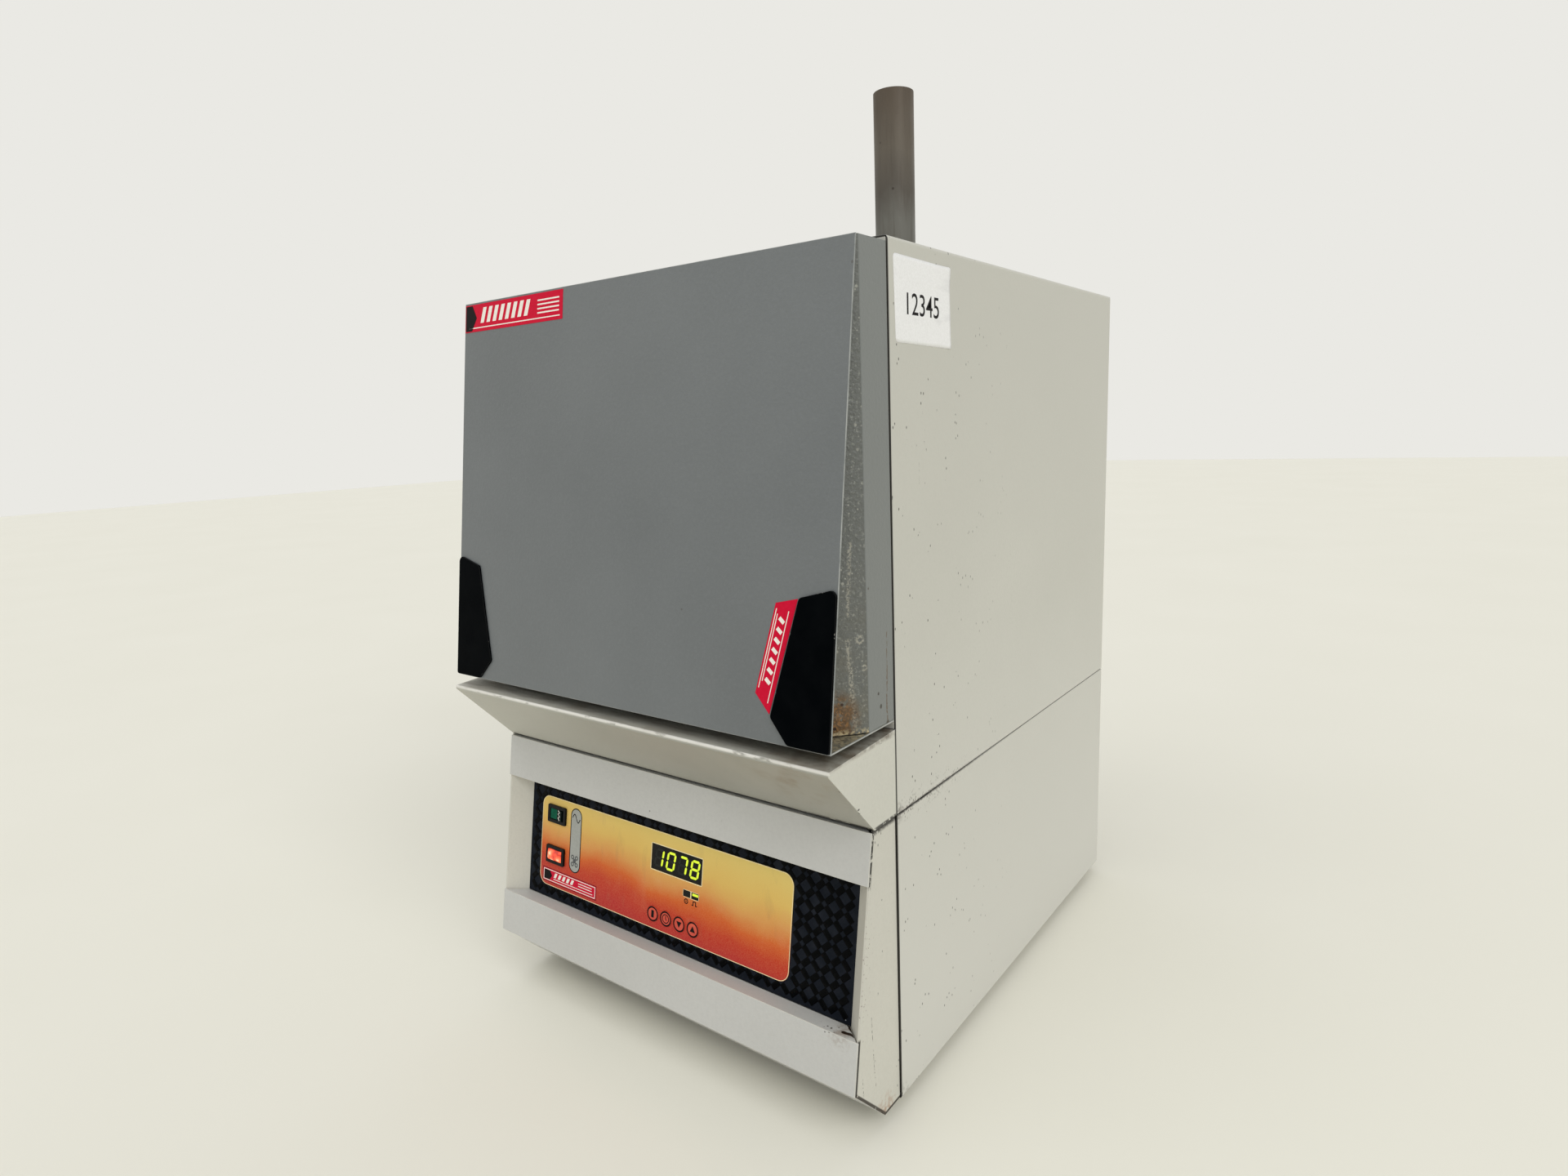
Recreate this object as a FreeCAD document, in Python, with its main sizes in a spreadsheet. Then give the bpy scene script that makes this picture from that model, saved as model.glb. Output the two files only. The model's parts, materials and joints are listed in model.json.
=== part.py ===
import FreeCAD, Part
import os
import re
import Sketcher

from FreeCAD import Placement, Rotation, Vector

# Ashing furnace, bench model with a three litre chamber, a lift-up door and a chimney.
# The frame has its origin under the middle of the furnace, on the bench, with +Z up,
# the door towards -Y and +X to the right of someone who faces the door.
# Heights named below are above the underside of the casing, and reaches are measured
# forward from the front edge of the casing.

SIZES = [
    # Casing
    ("casing_width", 375),
    ("casing_depth", 423),
    ("casing_height", 584),
    ("sheet_gauge", 1.2),
    ("casing_bend", 3),
    ("seam_height", 215),
    ("seam_gap", 0.8),
    ("casing_flange", 15),
    ("foot_height", 10),
    ("foot_radius", 16),
    ("foot_inset", 34),
    ("fit_gap", 0.15),
    ("deck_flange", 14),
    ("deck_margin", 5),
    ("floor_vent_length", 70),
    ("floor_vent_width", 6),
    ("floor_vent_pitch", 16),
    ("floor_vent_start", 120),
    ("floor_vent_offset", 120),
    ("floor_vent_rows", 6),
    ("deck_drop", 0.2),
    ("cable_way_radius", 12),
    ("cable_way_setback", 60),
    ("overshoot", 1),
    # Rear panels
    ("panel_margin", 0.6),
    ("vent_length", 90),
    ("vent_width", 6),
    ("vent_pitch", 18),
    ("vent_top_margin", 45),
    ("vent_offset", 85),
    ("upper_vent_rows", 8),
    ("lower_vent_rows", 6),
    ("screw_head_radius", 3.6),
    ("screw_head_height", 2.2),
    ("screw_margin", 8),
    ("gland_reach", 14),
    ("gland_side_gap", 67.5),
    ("gland_height", 60),
    ("gland_thread_radius", 10),
    ("gland_cap_radius", 12.4),
    ("gland_bore_radius", 5.5),
    ("gland_nut_radius", 14),
    ("gland_nut_height", 6),
    ("gland_inner_length", 12),
    # Ledge below the door
    ("ledge_reach", 78.9),
    ("ledge_nose_height", 271),
    ("ledge_nose_edge", 3),
    ("ledge_rear_height", 274.7),
    ("ledge_bend", 1.3),
    # Console below the ledge
    ("console_top_reach", 28.7),
    ("console_bottom_reach", 57.4),
    ("console_drop", 175.1),
    ("undercut_reach", 21),
    ("undercut_height", 1.5),
    ("cheek_tuck", 12),
    ("cheek_lip", 1.5),
    ("cheek_clear", 2),
    ("cheek_fold_depth", 1.7),
    ("recess_depth", 14),
    ("recess_splay", 15),
    ("band_gap", 0.3),
    ("band_top_gap", 2),
    ("upper_band_width", 35.5),
    ("recess_length", 103.4),
    ("band_return", 13.6),
    ("panel_tuck", 9.5),
    # Control panel; widths run along X and drops run down the slope from the console top
    ("panel_gauge", 1.5),
    ("overlay_gauge", 0.4),
    ("label_gauge", 0.3),
    ("label_left_margin", 14.15),
    ("label_right_margin", 53.65),
    ("label_drop", 51.5),
    ("label_length", 79),
    ("label_corner", 9),
    ("display_offset", 24.65),
    ("display_width", 53.5),
    ("display_drop", 62.5),
    ("display_length", 20.3),
    ("lights_offset", 16.7),
    ("lights_width", 15.8),
    ("lights_drop", 90.4),
    ("lights_length", 4.9),
    ("key_radius", 6),
    ("key_clear", 0.15),
    ("key_offset", 22),
    ("key_pitch", 14.27),
    ("key_drop", 118.6),
    ("key_proud", 0.6),
    ("key_travel", 0.5),
    ("key_flange_reach", 0.7),
    ("key_rest_gap", 0.1),
    ("module_depth", 60),
    ("module_margin", 7),
    ("module_corner", 2),
    ("module_standoff", 2.6),
    ("switch_offset", 20.4),
    ("switch_width", 23),
    ("switch_length", 15.5),
    ("switch_bezel", 2),
    ("switch_bezel_wall", 2),
    ("switch_inner_wall", 3),
    ("switch_corner", 1.2),
    ("switch_well_depth", 7.7),
    ("switch_body_depth", 18),
    ("switch_drop", 58),
    ("lamp_drop", 93.8),
    ("rocker_angle", 10),
    ("rocker_clear", 0.35),
    ("rocker_pivot_depth", 3.5),
    ("rocker_proud", 0.8),
    ("rocker_taper", 0.8),
    ("rocker_keel", 1.6),
    ("rocker_shoulder", 0.5),
    ("lamp_proud", 2.4),
    ("lens_facet", 2.2),
    # Door
    ("door_bottom", 280.2),
    ("door_height", 300),
    ("door_side_inset", 0.5),
    ("door_gap", 0.8),
    ("pan_depth", 31.6),
    ("skin_top_reach", 34.6),
    ("skin_bottom_reach", 75.4),
    ("groove_slope", 0.85),
    ("grip_thickness", 1.6),
    ("grip_margin", 0.8),
    ("grip_height", 90.8),
    ("grip_top_width", 27.2),
    ("grip_low_width", 45.2),
    ("grip_low_height", 16.5),
    ("grip_bottom_width", 31.2),
    ("grip_corner", 3),
    ("door_block_width", 200),
    ("door_block_height", 146),
    ("door_block_thickness", 29),
    ("door_block_edge", 2),
    ("block_gap", 0.3),
    # Parallel arms that carry the door
    ("arm_length", 150),
    ("arm_width", 18),
    ("arm_gauge", 4),
    ("arm_inset", 27.5),
    ("closed_angle", 50),
    ("open_angle", 38),
    ("pivot_spacing", 60),
    ("door_pivot_reach", 14),
    ("door_pivot_rise", 28),
    ("door_pin_radius", 4),
    ("casing_pin_radius", 5),
    ("pin_clear", 0.08),
    ("slot_clear", 5),
    ("slot_end_clear", 1),
    ("tail_length", 110),
    ("weight_length", 90),
    ("weight_slot_reach", 31.5),
    ("weight_width", 90),
    ("weight_thickness", 31),
    ("weight_offset", 8.7),
    ("weight_corner", 5),
    ("weight_slot_clear", 0.1),
    ("pivot_plate_gauge", 3),
    ("pivot_plate_rear", 52),
    ("pivot_plate_front", 26),
    ("pivot_plate_below", 62),
    ("pivot_plate_above", 24),
    ("pivot_plate_corner", 28),
    ("shoulder_radius", 8),
    ("shoulder_gap", 0.3),
    ("pin_overhang", 2),
    ("stop_width", 10),
    ("stop_distance", 45),
    ("stop_clear", 0.4),
    ("hinge_gauge", 3),
    ("hinge_gap", 2.5),
    ("hinge_margin", 15),
    ("hinge_depth", 26),
    # Chamber and insulation
    ("chamber_width", 150),
    ("chamber_height", 90),
    ("chamber_length", 250),
    ("chamber_floor", 385),
    ("hearth_thickness", 12),
    ("hearth_gap", 0.5),
    ("tile_thickness", 18),
    ("groove_radius", 6),
    ("groove_depth", 4),
    ("groove_pitch", 20),
    ("groove_count", 4),
    ("coil_gap", 0.3),
    ("coil_end", 6),
    ("throat_gap", 0.3),
    ("throat_thickness", 30),
    ("insulation_inset", 42.5),
    ("insulation_bottom", 300),
    ("insulation_top", 555),
    ("rear_space", 28.5),
    ("case_gap", 0.3),
    ("throat_reveal", 8),
    # Chimney and flue
    ("chimney_setback", 338.7),
    ("chimney_height", 787.6),
    ("chimney_radius", 19.6),
    ("chimney_wall", 1.5),
    ("chimney_clear", 0.4),
    ("collar_half", 33),
    ("collar_thickness", 3),
    ("flue_wall", 4),
    ("flue_clear", 0.8),
    ("flue_top", 640),
    ("port_radius", 10),
    ("port_height", 455),
    ("flue_seat", 470),
    ("flue_sump", 440),
    ("probe_radius", 3),
    ("probe_clear", 0.3),
    ("probe_offset", 30),
    ("probe_height", 432),
    ("probe_reach", 30),
    ("probe_head_half", 10),
    ("probe_head_length", 16),
    # Electrical parts on the floor of the base
    ("sink_width", 110),
    ("sink_depth", 90),
    ("sink_height", 40),
    ("sink_base", 6),
    ("fin_gauge", 2.5),
    ("fin_pitch", 10.4),
    ("fin_count", 11),
    ("sink_side_gap", 97.5),
    ("sink_setback", 250),
    ("relay_width", 45),
    ("relay_depth", 58),
    ("relay_height", 24),
    ("terminal_width", 22),
    ("terminal_length", 96),
    ("terminal_height", 24),
    ("terminal_side_gap", 77.5),
    ("terminal_setback", 320),
    ("terminal_well", 5),
    ("terminal_well_depth", 9),
    ("terminal_pitch", 16),
    ("terminal_count", 6),
]

doc = FreeCAD.newDocument("AshingFurnace")
sheet = doc.addObject("Spreadsheet::Sheet", "Sizes")
for row, (alias, number) in enumerate(SIZES, start=1):
    sheet.set(f"A{row}", alias)
    sheet.set(f"B{row}", str(number))
    sheet.setAlias(f"B{row}", alias)
doc.recompute()

ALIASES = {alias for alias, number in SIZES}

# Lengths that several pieces share, written in terms of the sheet
SIDE = "(casing_width / 2)"
INNER_SIDE = "(casing_width / 2 - sheet_gauge)"
REAR_PLANE = "(casing_depth - sheet_gauge)"
FRONT = "((ledge_reach - casing_depth - gland_reach) / 2)"
LEDGE_DROP = "(ledge_nose_height - ledge_nose_edge)"
CONSOLE_TILT = "atan((console_bottom_reach - console_top_reach) / console_drop)"
CONSOLE_LENGTH = f"(console_drop / cos({CONSOLE_TILT}))"
CONSOLE_BOTTOM = "(seam_height - console_drop)"
CHEEK_OUT = f"({INNER_SIDE} - fit_gap)"
PANEL_HALF = f"({CHEEK_OUT} - recess_splay)"
PANEL_FACE = "(recess_depth + overlay_gauge)"
LABEL_FACE = "(recess_depth - label_gauge)"
RECESS_TOP = "(-band_top_gap - upper_band_width)"
RECESS_BOTTOM = f"({RECESS_TOP} - recess_length)"
GLAND_X = "(gland_side_gap - casing_width / 2)"
LABEL_LEFT = f"(label_left_margin - {PANEL_HALF})"
LABEL_RIGHT = f"({PANEL_HALF} - label_right_margin)"
SWITCH_MIDDLE = f"({LABEL_LEFT} + switch_offset)"
DISPLAY_MIDDLE = f"(({LABEL_LEFT} + {LABEL_RIGHT}) / 2 + display_offset)"
LIGHTS_MIDDLE = f"({DISPLAY_MIDDLE} + lights_offset)"
FIRST_KEY = f"({DISPLAY_MIDDLE} - key_offset)"
DOOR_HALF = "(casing_width / 2 - door_side_inset)"
DOOR_TOP = "(door_bottom + door_height)"
SKIN_SLOPE = "((skin_bottom_reach - skin_top_reach) / door_height)"
SKIN_TILT = f"atan({SKIN_SLOPE})"
SKIN_DEPTH = f"(sheet_gauge / cos({SKIN_TILT}))"
PAN_BOTTOM = "(door_bottom + sheet_gauge)"
WEDGE_LOW = f"(skin_bottom_reach - {SKIN_DEPTH} - {SKIN_SLOPE} * sheet_gauge - pan_depth)"
WEDGE_HIGH = f"(skin_top_reach - {SKIN_DEPTH} - pan_depth)"
BLOCK_MIDDLE = "(chamber_floor + chamber_height / 2)"
PIVOT_DEPTH = "(arm_length * cos(closed_angle) - door_pivot_reach)"
PIVOT_HEIGHT = "(door_bottom + door_pivot_rise + arm_length * sin(closed_angle))"
DOOR_PIVOT = "(door_bottom + door_pivot_rise)"
THROAT_FACE = "(sheet_gauge + throat_gap)"
CHAMBER_FRONT = f"({THROAT_FACE} + throat_thickness)"
CHAMBER_REAR = f"({CHAMBER_FRONT} + chamber_length)"
CHAMBER_ROOF = "(chamber_floor + chamber_height)"
TILE_OUT = "(chamber_width / 2 + tile_thickness)"
HEARTH_SEAT = "(chamber_floor - hearth_thickness)"
INSULATION_HALF = "(casing_width / 2 - insulation_inset)"
REAR_BLOCK = f"(casing_depth - rear_space - {CHAMBER_REAR})"
CASE_IN = f"({INSULATION_HALF} + case_gap)"
CASE_OUT = f"({CASE_IN} + sheet_gauge)"
PLATE_IN = f"({CASE_OUT} + case_gap / 2)"
PLATE_OUT = f"({PLATE_IN} + pivot_plate_gauge)"
ARM_PLANE = "(casing_width / 2 - arm_inset)"
ARM_IN = f"({ARM_PLANE} - arm_gauge / 2)"
ARM_OUT = f"({ARM_PLANE} + arm_gauge / 2)"
DECK_TOP = "(seam_height - deck_drop)"
FLUE_RADIUS = "(chimney_radius - chimney_wall - flue_clear)"

X_AXIS = Vector(1, 0, 0)
KEY_COUNT = 4
COIL_SIDES = 12
FOOT_SIDES = 12
NUT_SIDES = 6
HOLE_SIDES = 8


def cell(text):
    """Expression text with every size name pointed at its cell of the sheet."""
    return re.sub(r"[a-z][a-z0-9_]*",
                  lambda word: "Sizes." + word.group() if word.group() in ALIASES else word.group(),
                  str(text))


def number(text):
    """Present value of an expression, in millimetres or degrees."""
    value = sheet.evalExpression(cell(text))
    return float(getattr(value, "Value", value))


def bind(item, prop, text):
    item.setExpression(prop, cell(text))


def place(item, x="0", y="0", z="0", turn=None):
    """Put a piece in the casing's frame: y from its front edge, z from its underside."""
    if turn is not None:
        item.Placement = Placement(Vector(0, 0, 0), Rotation(X_AXIS, number(turn)))
        bind(item, "Placement.Rotation.Angle", turn)
    bind(item, "Placement.Base.x", x)
    bind(item, "Placement.Base.y", f"{FRONT} + {y}")
    bind(item, "Placement.Base.z", f"foot_height + {z}")


def new_body(label, **where):
    body = doc.addObject("PartDesign::Body", label)
    body.Label = label
    place(body, **where)
    return body


def console_body(label):
    """Body whose own Y runs square into the sloping console front and whose Z runs up it."""
    return new_body(label, y="-console_top_reach", z="seam_height", turn=f"-{CONSOLE_TILT}")


def origin_feature(body, role):
    return [item for item in body.Origin.OriginFeatures if item.Role == role][0]


def new_sketch(body, name, role, offset="0", turn=None):
    sketch = body.newObject("Sketcher::SketchObject", name)
    sketch.AttachmentSupport = [(origin_feature(body, role), "")]
    sketch.MapMode = "FlatFace"
    if turn is not None:
        sketch.AttachmentOffset = Placement(Vector(0, 0, 0), Rotation(X_AXIS, number(turn)))
        bind(sketch, "AttachmentOffset.Rotation.Angle", turn)
    bind(sketch, "AttachmentOffset.Base.z", offset)
    return sketch


def tie_points(sketch, ties):
    """Tie points of the geometry to the sheet: (geometry, point, x text, y text)."""
    rules = []
    texts = []
    for item, point, x, y in ties:
        rules.append(Sketcher.Constraint("DistanceX", -1, 1, item, point, number(x)))
        rules.append(Sketcher.Constraint("DistanceY", -1, 1, item, point, number(y)))
        texts += [x, y]
    for index, text in zip(sketch.addConstraint(rules), texts):
        bind(sketch, f"Constraints[{index}]", text)


def add_polygon(sketch, corners):
    """Closed straight-sided outline, each corner tied to the sheet."""
    first = sketch.GeometryCount
    points = [Vector(number(x), number(y), 0) for x, y in corners]
    count = len(points)
    sketch.addGeometry([Part.LineSegment(points[i], points[(i + 1) % count]) for i in range(count)],
                       False)
    sketch.addConstraint([Sketcher.Constraint("Coincident", first + i, 2, first + (i + 1) % count, 1)
                          for i in range(count)])
    tie_points(sketch, [(first + i, 1, x, y) for i, (x, y) in enumerate(corners)])


def add_rectangle(sketch, left, right, bottom, top):
    add_polygon(sketch, [(left, bottom), (right, bottom), (right, top), (left, top)])


def add_circle(sketch, x, y, radius):
    item = sketch.addGeometry(Part.Circle(Vector(number(x), number(y), 0), Vector(0, 0, 1),
                                          number(radius)), False)
    tie_points(sketch, [(item, 3, x, y)])
    rule = sketch.addConstraint(Sketcher.Constraint("Radius", item, number(radius)))
    bind(sketch, f"Constraints[{rule}]", radius)


def add_regular(sketch, x, y, reach, sides):
    """Regular outline whose sides all lie at the given distance from its middle."""
    corner = f"({reach} / cos(180 / {sides}))"
    turns = [(side + 0.5) * 360 / sides for side in range(sides)]
    add_polygon(sketch, [(f"({x} + {corner} * cos({turn}))", f"({y} + {corner} * sin({turn}))")
                         for turn in turns])


def add_bar(sketch, start, end, half_width):
    """Bar along the sketch's x, its ends cropped round the two points that it runs between."""
    crop = f"({half_width} * tan(22.5))"
    add_polygon(sketch, [
        (f"({start} - {crop})", f"-{half_width}"), (f"({end} + {crop})", f"-{half_width}"),
        (f"({end} + {half_width})", f"-{crop}"), (f"({end} + {half_width})", crop),
        (f"({end} + {crop})", half_width), (f"({start} - {crop})", half_width),
        (f"({start} - {half_width})", crop), (f"({start} - {half_width})", f"-{crop}"),
    ])


def grow(body, sketch, length, kind="Pad", midplane=False, backwards=False):
    """Pad or pocket a sketch and check that it changed the body."""
    before = body.Tip.Shape.Volume if body.Tip else 0.0
    feature = body.newObject(f"PartDesign::{kind}", f"{sketch.Name}{kind}")
    feature.Profile = sketch
    bind(feature, "Length", length)
    feature.SideType = "Symmetric" if midplane else "One side"
    feature.Reversed = backwards
    sketch.Visibility = False
    doc.recompute()
    if abs(feature.Shape.Volume - before) < 1e-6:
        raise RuntimeError(f"{feature.Name} changes nothing")
    return feature


def round_edges(body, radius, chosen, kind="Fillet"):
    """Fillet or chamfer the tip's edges that chosen(edge) picks out."""
    base = body.Tip
    names = [f"Edge{i}" for i, edge in enumerate(base.Shape.Edges, start=1) if chosen(edge)]
    if not names:
        raise RuntimeError(f"no edge to round on {body.Label}")
    feature = body.newObject(f"PartDesign::{kind}", f"{body.Name}{kind}")
    feature.Base = (base, names)
    bind(feature, "Radius" if kind == "Fillet" else "Size", radius)
    doc.recompute()
    return feature


def hollow(body, wall, chosen):
    """Turn the tip into a shell, open at the faces that chosen(face) picks out."""
    base = body.Tip
    names = [f"Face{i}" for i, face in enumerate(base.Shape.Faces, start=1) if chosen(face)]
    feature = body.newObject("PartDesign::Thickness", f"{body.Name}Shell")
    feature.Base = (base, names)
    feature.Reversed = True
    bind(feature, "Value", wall)
    doc.recompute()
    return feature


def pattern(body, feature, role, length, count):
    """Repeat a feature along one of the body's own axes and make it the tip."""
    repeat = body.newObject("PartDesign::LinearPattern", f"{feature.Name}Row")
    repeat.Originals = [feature]
    repeat.Direction = (origin_feature(body, role), [""])
    bind(repeat, "Length", length)
    bind(repeat, "Occurrences", count)
    body.Tip = repeat
    doc.recompute()
    return repeat


def along(edge, axis):
    """True for a straight edge that runs along the given axis."""
    if not isinstance(edge.Curve, (Part.Line, Part.LineSegment)):
        return False
    return abs(abs(edge.tangentAt(edge.FirstParameter).dot(axis)) - 1) < 1e-6


def near(value, text, slack=1e-4):
    return abs(value - number(text)) < slack


def mirror(label, source):
    """The left-hand twin of a right-hand piece."""
    twin = doc.addObject("Part::Mirroring", label)
    twin.Label = label
    twin.Source = source
    twin.Normal = X_AXIS
    twin.Base = Vector(0, 0, 0)
    return twin


def cylinder(name, radius, height, x="0", y="0", z="0", axis=None):
    """Cylinder in the casing's frame, upright or turned to run along +Y or +X."""
    item = doc.addObject("Part::Cylinder", name)
    bind(item, "Radius", radius)
    bind(item, "Height", height)
    if axis == "Y":
        item.Placement = Placement(Vector(0, 0, 0), Rotation(X_AXIS, -90))
    place(item, x=x, y=y, z=z)
    return item


def prism(name, sides, radius, height, x="0", y="0", z="0", upright=False):
    """Regular prism in the casing's frame, along +Y or upright."""
    item = doc.addObject("Part::Prism", name)
    item.Polygon = sides
    bind(item, "Circumradius", radius)
    bind(item, "Height", height)
    if not upright:
        item.Placement = Placement(Vector(0, 0, 0), Rotation(X_AXIS, -90))
    place(item, x=x, y=y, z=z)
    return item


def block(name, width, depth, height, x="0", y="0", z="0"):
    """Box in the casing's frame, given its lowest corner."""
    item = doc.addObject("Part::Box", name)
    bind(item, "Length", width)
    bind(item, "Width", depth)
    bind(item, "Height", height)
    place(item, x=x, y=y, z=z)
    return item


def joined(label, pieces):
    item = doc.addObject("Part::MultiFuse", label)
    item.Label = label
    item.Shapes = pieces
    return item


def cut(label, base, tool):
    item = doc.addObject("Part::Cut", label)
    item.Label = label
    item.Base = base
    item.Tool = tool
    return item


def gathered(label, pieces):
    """Several separate solids that share one node."""
    item = doc.addObject("Part::Compound", label)
    item.Label = label
    item.Links = pieces
    return item


def crosswise_edges(edge):
    return along(edge, Vector(0, 1, 0))


# Casing

def make_lower_casing():
    body = new_body("lower_casing")
    top = "(seam_height - seam_gap)"
    shell = new_sketch(body, "TrayShell", "XZ_Plane")
    add_polygon(shell, [
        (f"-{SIDE}", "0"), (SIDE, "0"), (SIDE, top), (INNER_SIDE, top),
        (INNER_SIDE, "sheet_gauge"), (f"-{INNER_SIDE}", "sheet_gauge"),
        (f"-{INNER_SIDE}", top), (f"-{SIDE}", top),
    ])
    grow(body, shell, REAR_PLANE, backwards=True)
    round_edges(body, "casing_bend",
                lambda edge: crosswise_edges(edge) and near(edge.CenterOfMass.z, "0"))
    flange = new_sketch(body, "TrayFlange", "XZ_Plane", f"-{REAR_PLANE}")
    add_rectangle(flange, f"-{INNER_SIDE}", INNER_SIDE, "sheet_gauge", top)
    add_rectangle(flange, f"-({INNER_SIDE} - casing_flange)", f"({INNER_SIDE} - casing_flange)",
                  "(sheet_gauge + casing_flange)", f"({top} - casing_flange)")
    grow(body, flange, "sheet_gauge")
    vent = new_sketch(body, "FloorVent", "XY_Plane")
    add_rectangle(vent, "(-floor_vent_offset / 2 - floor_vent_length / 2)",
                  "(-floor_vent_offset / 2 + floor_vent_length / 2)",
                  "floor_vent_start", "(floor_vent_start + floor_vent_width)")
    add_rectangle(vent, "(floor_vent_offset / 2 - floor_vent_length / 2)",
                  "(floor_vent_offset / 2 + floor_vent_length / 2)",
                  "floor_vent_start", "(floor_vent_start + floor_vent_width)")
    slots = grow(body, vent, "4 * sheet_gauge", kind="Pocket", midplane=True)
    pattern(body, slots, "Y_Axis", "floor_vent_pitch * (floor_vent_rows - 1)", "floor_vent_rows")
    return body


def make_deck_plate():
    body = new_body("deck_plate")
    out = f"({INNER_SIDE} - fit_gap)"
    low = f"({DECK_TOP} - deck_flange)"
    hat = new_sketch(body, "DeckHat", "XZ_Plane", "-deck_margin")
    add_polygon(hat, [
        (f"-{out}", low), (f"(sheet_gauge - {out})", low),
        (f"(sheet_gauge - {out})", f"({DECK_TOP} - sheet_gauge)"),
        (f"({out} - sheet_gauge)", f"({DECK_TOP} - sheet_gauge)"),
        (f"({out} - sheet_gauge)", low), (out, low), (out, DECK_TOP), (f"-{out}", DECK_TOP),
    ])
    grow(body, hat, "(casing_depth - 2 * deck_margin)", backwards=True)
    ways = new_sketch(body, "CableWays", "XY_Plane", DECK_TOP)
    for side in ("-", ""):
        add_circle(ways, f"{side}({INSULATION_HALF} / 2)", "(casing_depth - cable_way_setback)",
                   "cable_way_radius")
    grow(body, ways, "4 * sheet_gauge", kind="Pocket", midplane=True)
    return body


def make_upper_casing():
    body = new_body("upper_casing")
    lip = f"({SIDE} - casing_flange)"
    over = "(seam_height + sheet_gauge)"
    under = "(casing_height - sheet_gauge)"
    shell = new_sketch(body, "CoverShell", "XZ_Plane")
    add_polygon(shell, [
        (f"-{SIDE}", "seam_height"), (f"-{lip}", "seam_height"), (f"-{lip}", over),
        (f"-{INNER_SIDE}", over), (f"-{INNER_SIDE}", under), (INNER_SIDE, under),
        (INNER_SIDE, over), (lip, over), (lip, "seam_height"), (SIDE, "seam_height"),
        (SIDE, "casing_height"), (f"-{SIDE}", "casing_height"),
    ])
    grow(body, shell, REAR_PLANE, backwards=True)
    round_edges(body, "casing_bend",
                lambda edge: crosswise_edges(edge) and near(edge.CenterOfMass.z, "casing_height"))
    flange = new_sketch(body, "CoverFlange", "XZ_Plane", f"-{REAR_PLANE}")
    add_rectangle(flange, f"-{INNER_SIDE}", INNER_SIDE, over, under)
    add_rectangle(flange, f"-({INNER_SIDE} - casing_flange)", f"({INNER_SIDE} - casing_flange)",
                  f"({over} + casing_flange)", f"({under} - casing_flange)")
    grow(body, flange, "sheet_gauge")
    hole = new_sketch(body, "ChimneyHole", "XY_Plane", "casing_height")
    add_circle(hole, "0", "chimney_setback", "(chimney_radius + chimney_clear)")
    grow(body, hole, "4 * sheet_gauge", kind="Pocket", midplane=True)
    return body


def make_front_mask():
    """Steel face behind the door, open at the throat and slotted for the door arms."""
    body = new_body("front_mask")
    edge = f"({INNER_SIDE} - fit_gap)"
    face = new_sketch(body, "MaskFace", "XZ_Plane")
    add_rectangle(face, f"-{edge}", edge, "(seam_height + sheet_gauge + fit_gap)",
                  "(casing_height - sheet_gauge - fit_gap)")
    add_rectangle(face, "-(door_block_width / 2 + throat_reveal)",
                  "(door_block_width / 2 + throat_reveal)",
                  f"({BLOCK_MIDDLE} - door_block_height / 2 - throat_reveal)",
                  f"({BLOCK_MIDDLE} + door_block_height / 2 + throat_reveal)")
    low = f"({PIVOT_HEIGHT} - {PIVOT_DEPTH} * tan(closed_angle) - arm_width)"
    high = f"({PIVOT_HEIGHT} + pivot_spacing + {PIVOT_DEPTH} * tan(open_angle) + arm_width)"
    for side in ("-", ""):
        add_rectangle(face, f"{side}({ARM_IN} - slot_clear)", f"{side}({ARM_OUT} + slot_clear)",
                      low, high)
    grow(body, face, "sheet_gauge", backwards=True)
    return body


def make_upper_rear_panel():
    body = new_body("upper_rear_panel", y=REAR_PLANE)
    edge = f"({SIDE} - panel_margin)"
    face = new_sketch(body, "UpperRear", "XZ_Plane")
    add_rectangle(face, f"-{edge}", edge, "(seam_height + panel_margin)",
                  "(casing_height - panel_margin)")
    grow(body, face, "sheet_gauge", backwards=True)
    vent = new_sketch(body, "UpperVent", "XZ_Plane")
    rise = "vent_pitch * (upper_vent_rows - 1)"
    low = f"(casing_height - vent_top_margin - {rise})"
    for side in ("-", ""):
        add_rectangle(vent, f"({side}vent_offset - vent_length / 2)",
                      f"({side}vent_offset + vent_length / 2)", low, f"({low} + vent_width)")
    slots = grow(body, vent, "4 * sheet_gauge", kind="Pocket", midplane=True)
    pattern(body, slots, "Z_Axis", rise, "upper_vent_rows")
    return body


def make_lower_rear_panel():
    body = new_body("lower_rear_panel", y=REAR_PLANE)
    edge = f"({SIDE} - panel_margin)"
    face = new_sketch(body, "LowerRear", "XZ_Plane")
    add_rectangle(face, f"-{edge}", edge, "casing_bend",
                  "(seam_height - seam_gap - panel_margin)")
    add_circle(face, GLAND_X, "gland_height", "(gland_thread_radius + fit_gap)")
    grow(body, face, "sheet_gauge", backwards=True)
    vent = new_sketch(body, "LowerVent", "XZ_Plane")
    rise = "vent_pitch * (lower_vent_rows - 1)"
    low = f"(seam_height - vent_top_margin - {rise})"
    add_rectangle(vent, "(vent_offset - vent_length / 2)", "(vent_offset + vent_length / 2)", low,
                  f"({low} + vent_width)")
    slots = grow(body, vent, "4 * sheet_gauge", kind="Pocket", midplane=True)
    pattern(body, slots, "Z_Axis", rise, "lower_vent_rows")
    return body


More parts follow.
